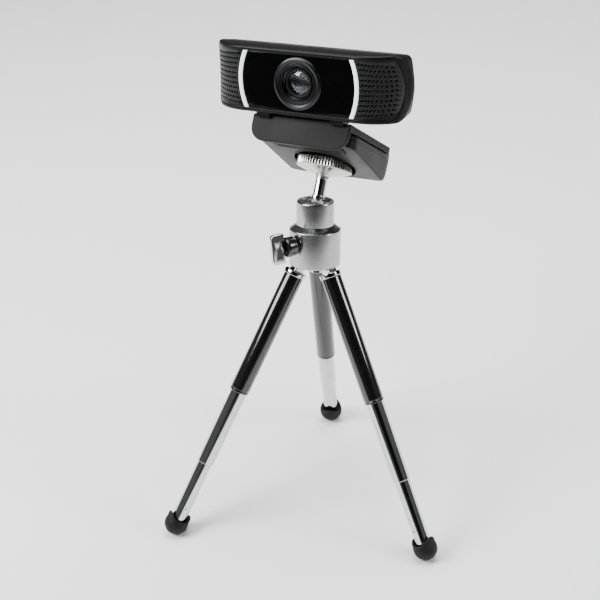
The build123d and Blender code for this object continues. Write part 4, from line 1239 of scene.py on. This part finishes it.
for name in legNames:
    plane = legPlane(name)
    midEnd = leg["end"] - leg["midOut"][name]
    centre = midEnd - leg["lowOut"][name]
    downward = plane.to_3x3().inverted() @ Vector((0, 0, -1))
    cap = legCap()
    cap.name = name + "LegCap"
    settle(cap, "chromePlate", name + "_leg", [name + "_leg_cap"], plane)
    top = turned(
        name + "LegTube",
        softCorners(
            [
                (leg["tube"], leg["start"], 0.2), (leg["tube"], leg["end"] + 1.6, 0.1),
                (leg["tube"] - 0.12, leg["end"] + 1.4, 0.05), (leg["tube"] - 0.12, leg["end"] + 1.1, 0.05),
                (leg["tube"], leg["end"] + 0.9, 0.1), (leg["tube"], leg["end"], 0.35), (4.17, leg["end"], 0.1),
                (4.15, leg["start"])
            ],
            True, 4
        )
    )
    settle(top, "tubeEnamel", name + "_leg", [name + "_leg_tube"], plane)
    mid = turned(name + "MidTube", tubeProfile(leg["mid"], 0.4, midEnd, midEnd + leg["midLength"], 0.22))
    settle(mid, "chromePlate", name + "_mid", [name + "_mid_tube"], plane)
    low = turned(name + "LowTube", tubeProfile(leg["low"], 0.5, centre - 2.4, centre + leg["lowLength"], 0.15))
    dimples = []
    for side in (-1, 1):
        dimple = turned("tool", ballPoints(0.85, pi, 10), "y", 24, False)
        dimple.data.transform(Matrix.Translation(Vector((0, side * (leg["low"] + 0.35), centre + 9)) * mm))
        dimples.append(dimple)
    combine(low, dimples, "DIFFERENCE")
    settle(low, "chromePlate", name + "_low", [name + "_low_tube"], plane)
    cup = rubberCup(centre, downward)
    cup.name = name + "RubberFoot"
    settle(cup, "rubberBlack", name + "_low", [name + "_rubber_foot"], plane)
print("legs ready")

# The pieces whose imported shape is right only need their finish
kept = dict(
    castMetal="leg_yoke",
    brightSteel="leg_pins yoke_screws clamp_screw fold_pin board_screws microphones case_screws tilt_pin",
    nylonWhite="ball_seat",
    turnedBrass="clamp_plunger thread_insert",
    clipBlack="foot_cover",
    barrelBlack="lens_holder",
    chipBlack="image_sensor board_connector",
    boardGreen="sensor_board main_board",
    lightWhite="status_leds",
)
keptCount = 0
for finish, nodes in kept.items():
    for node in nodes.split():
        mesh = frame["nodes"][node].data
        mesh.materials.clear()
        mesh.materials.append(finishes[finish].material)
        keptCount += 1
print("kept pieces finished:", keptCount)

# Stage: floor, world, lights and camera
stage = dict(floorLevel=0.9, world=1.25, glow=0.16, dark=0.01)
camera = dict(position=(231.36, -416.85, 441.32), azimuth=29.117, elevation=34.145, roll=-2.689, lens=78.30)
lamps = dict(
    key=dict(azimuth=-52, elevation=38, distance=0.9, size=0.5, power=15),
    fill=dict(azimuth=108, elevation=30, distance=0.9, size=0.3, power=5),
    top=dict(azimuth=200, elevation=72, distance=1.0, size=0.8, power=19),
)


def direction(azimuth, elevation):
    a, e = radians(azimuth), radians(elevation)
    return Vector((sin(a) * cos(e), -cos(a) * cos(e), sin(e)))


floor = slab("floor", [(-2000, -2000), (2000, -2000), (2000, 2000), (-2000, 2000)], -2.0, -0.02)
paper = Finish("paper", Specular_IOR_Level=0.15)
fibres = paper.noise(30, 3)
paper.feed(Base_Color=paper.blend(grey(stage["floorLevel"]), grey(stage["floorLevel"] * 1.015), fibres))
paper.feed(Roughness=0.75 + fibres * 0.1)
floor.data.materials.append(paper.material)

world = bpy.data.worlds.new("studio")
bpy.context.scene.world = world
world.use_nodes = True
sky = world.node_tree
background = sky.nodes["Background"]
viewBack = direction(camera["azimuth"], camera["elevation"])
generated = sky.nodes.new("ShaderNodeTexCoord").outputs["Generated"]
toCamera = sky.nodes.new("ShaderNodeVectorMath")
toCamera.operation = "DOT_PRODUCT"
toCamera.inputs[1].default_value = viewBack
sky.links.new(generated, toCamera.inputs[0])
shade = sky.nodes.new("ShaderNodeMapRange")
shade.interpolation_type = "SMOOTHSTEP"
shade.inputs["From Min"].default_value, shade.inputs["From Max"].default_value = 0.80, 0.93
shade.inputs["To Min"].default_value, shade.inputs["To Max"].default_value = stage["glow"], stage["dark"]
sky.links.new(toCamera.outputs["Value"], shade.inputs["Value"])
rays = sky.nodes.new("ShaderNodeLightPath")
pale = sky.nodes.new("ShaderNodeMix")
pale.inputs["B"].default_value = stage["world"]
sky.links.new(rays.outputs["Is Camera Ray"], pale.inputs["Factor"])
sky.links.new(shade.outputs["Result"], pale.inputs["A"])
sky.links.new(pale.outputs["Result"], background.inputs["Color"])
background.inputs["Strength"].default_value = 0.75

target = Vector((0.02, 0, 0.13))
for name, lamp in lamps.items():
    light = bpy.data.lights.new(name, "AREA")
    light.energy, light.size = lamp["power"], lamp["size"]
    holder = bpy.data.objects.new(name, light)
    way = direction(lamp["azimuth"], lamp["elevation"])
    holder.location = target + way * lamp["distance"]
    holder.rotation_mode = "QUATERNION"
    holder.rotation_quaternion = (-way).to_track_quat("-Z", "Y")
    bpy.context.scene.collection.objects.link(holder)

lensData = bpy.data.cameras.new("camera")
lensData.lens, lensData.sensor_width, lensData.clip_start, lensData.clip_end = camera["lens"], 36, 0.01, 50
viewer = bpy.data.objects.new("camera", lensData)
bpy.context.scene.collection.objects.link(viewer)
a = radians(camera["azimuth"])
right = Vector((cos(a), sin(a), 0))
up = viewBack.cross(right)
roll = radians(camera["roll"])
right, up = right * cos(roll) + up * sin(roll), up * cos(roll) - right * sin(roll)
placing = Matrix((right, up, viewBack)).transposed().to_4x4()
placing.translation = Vector(camera["position"]) * mm
viewer.matrix_world = placing
bpy.context.scene.camera = viewer
print("stage ready")
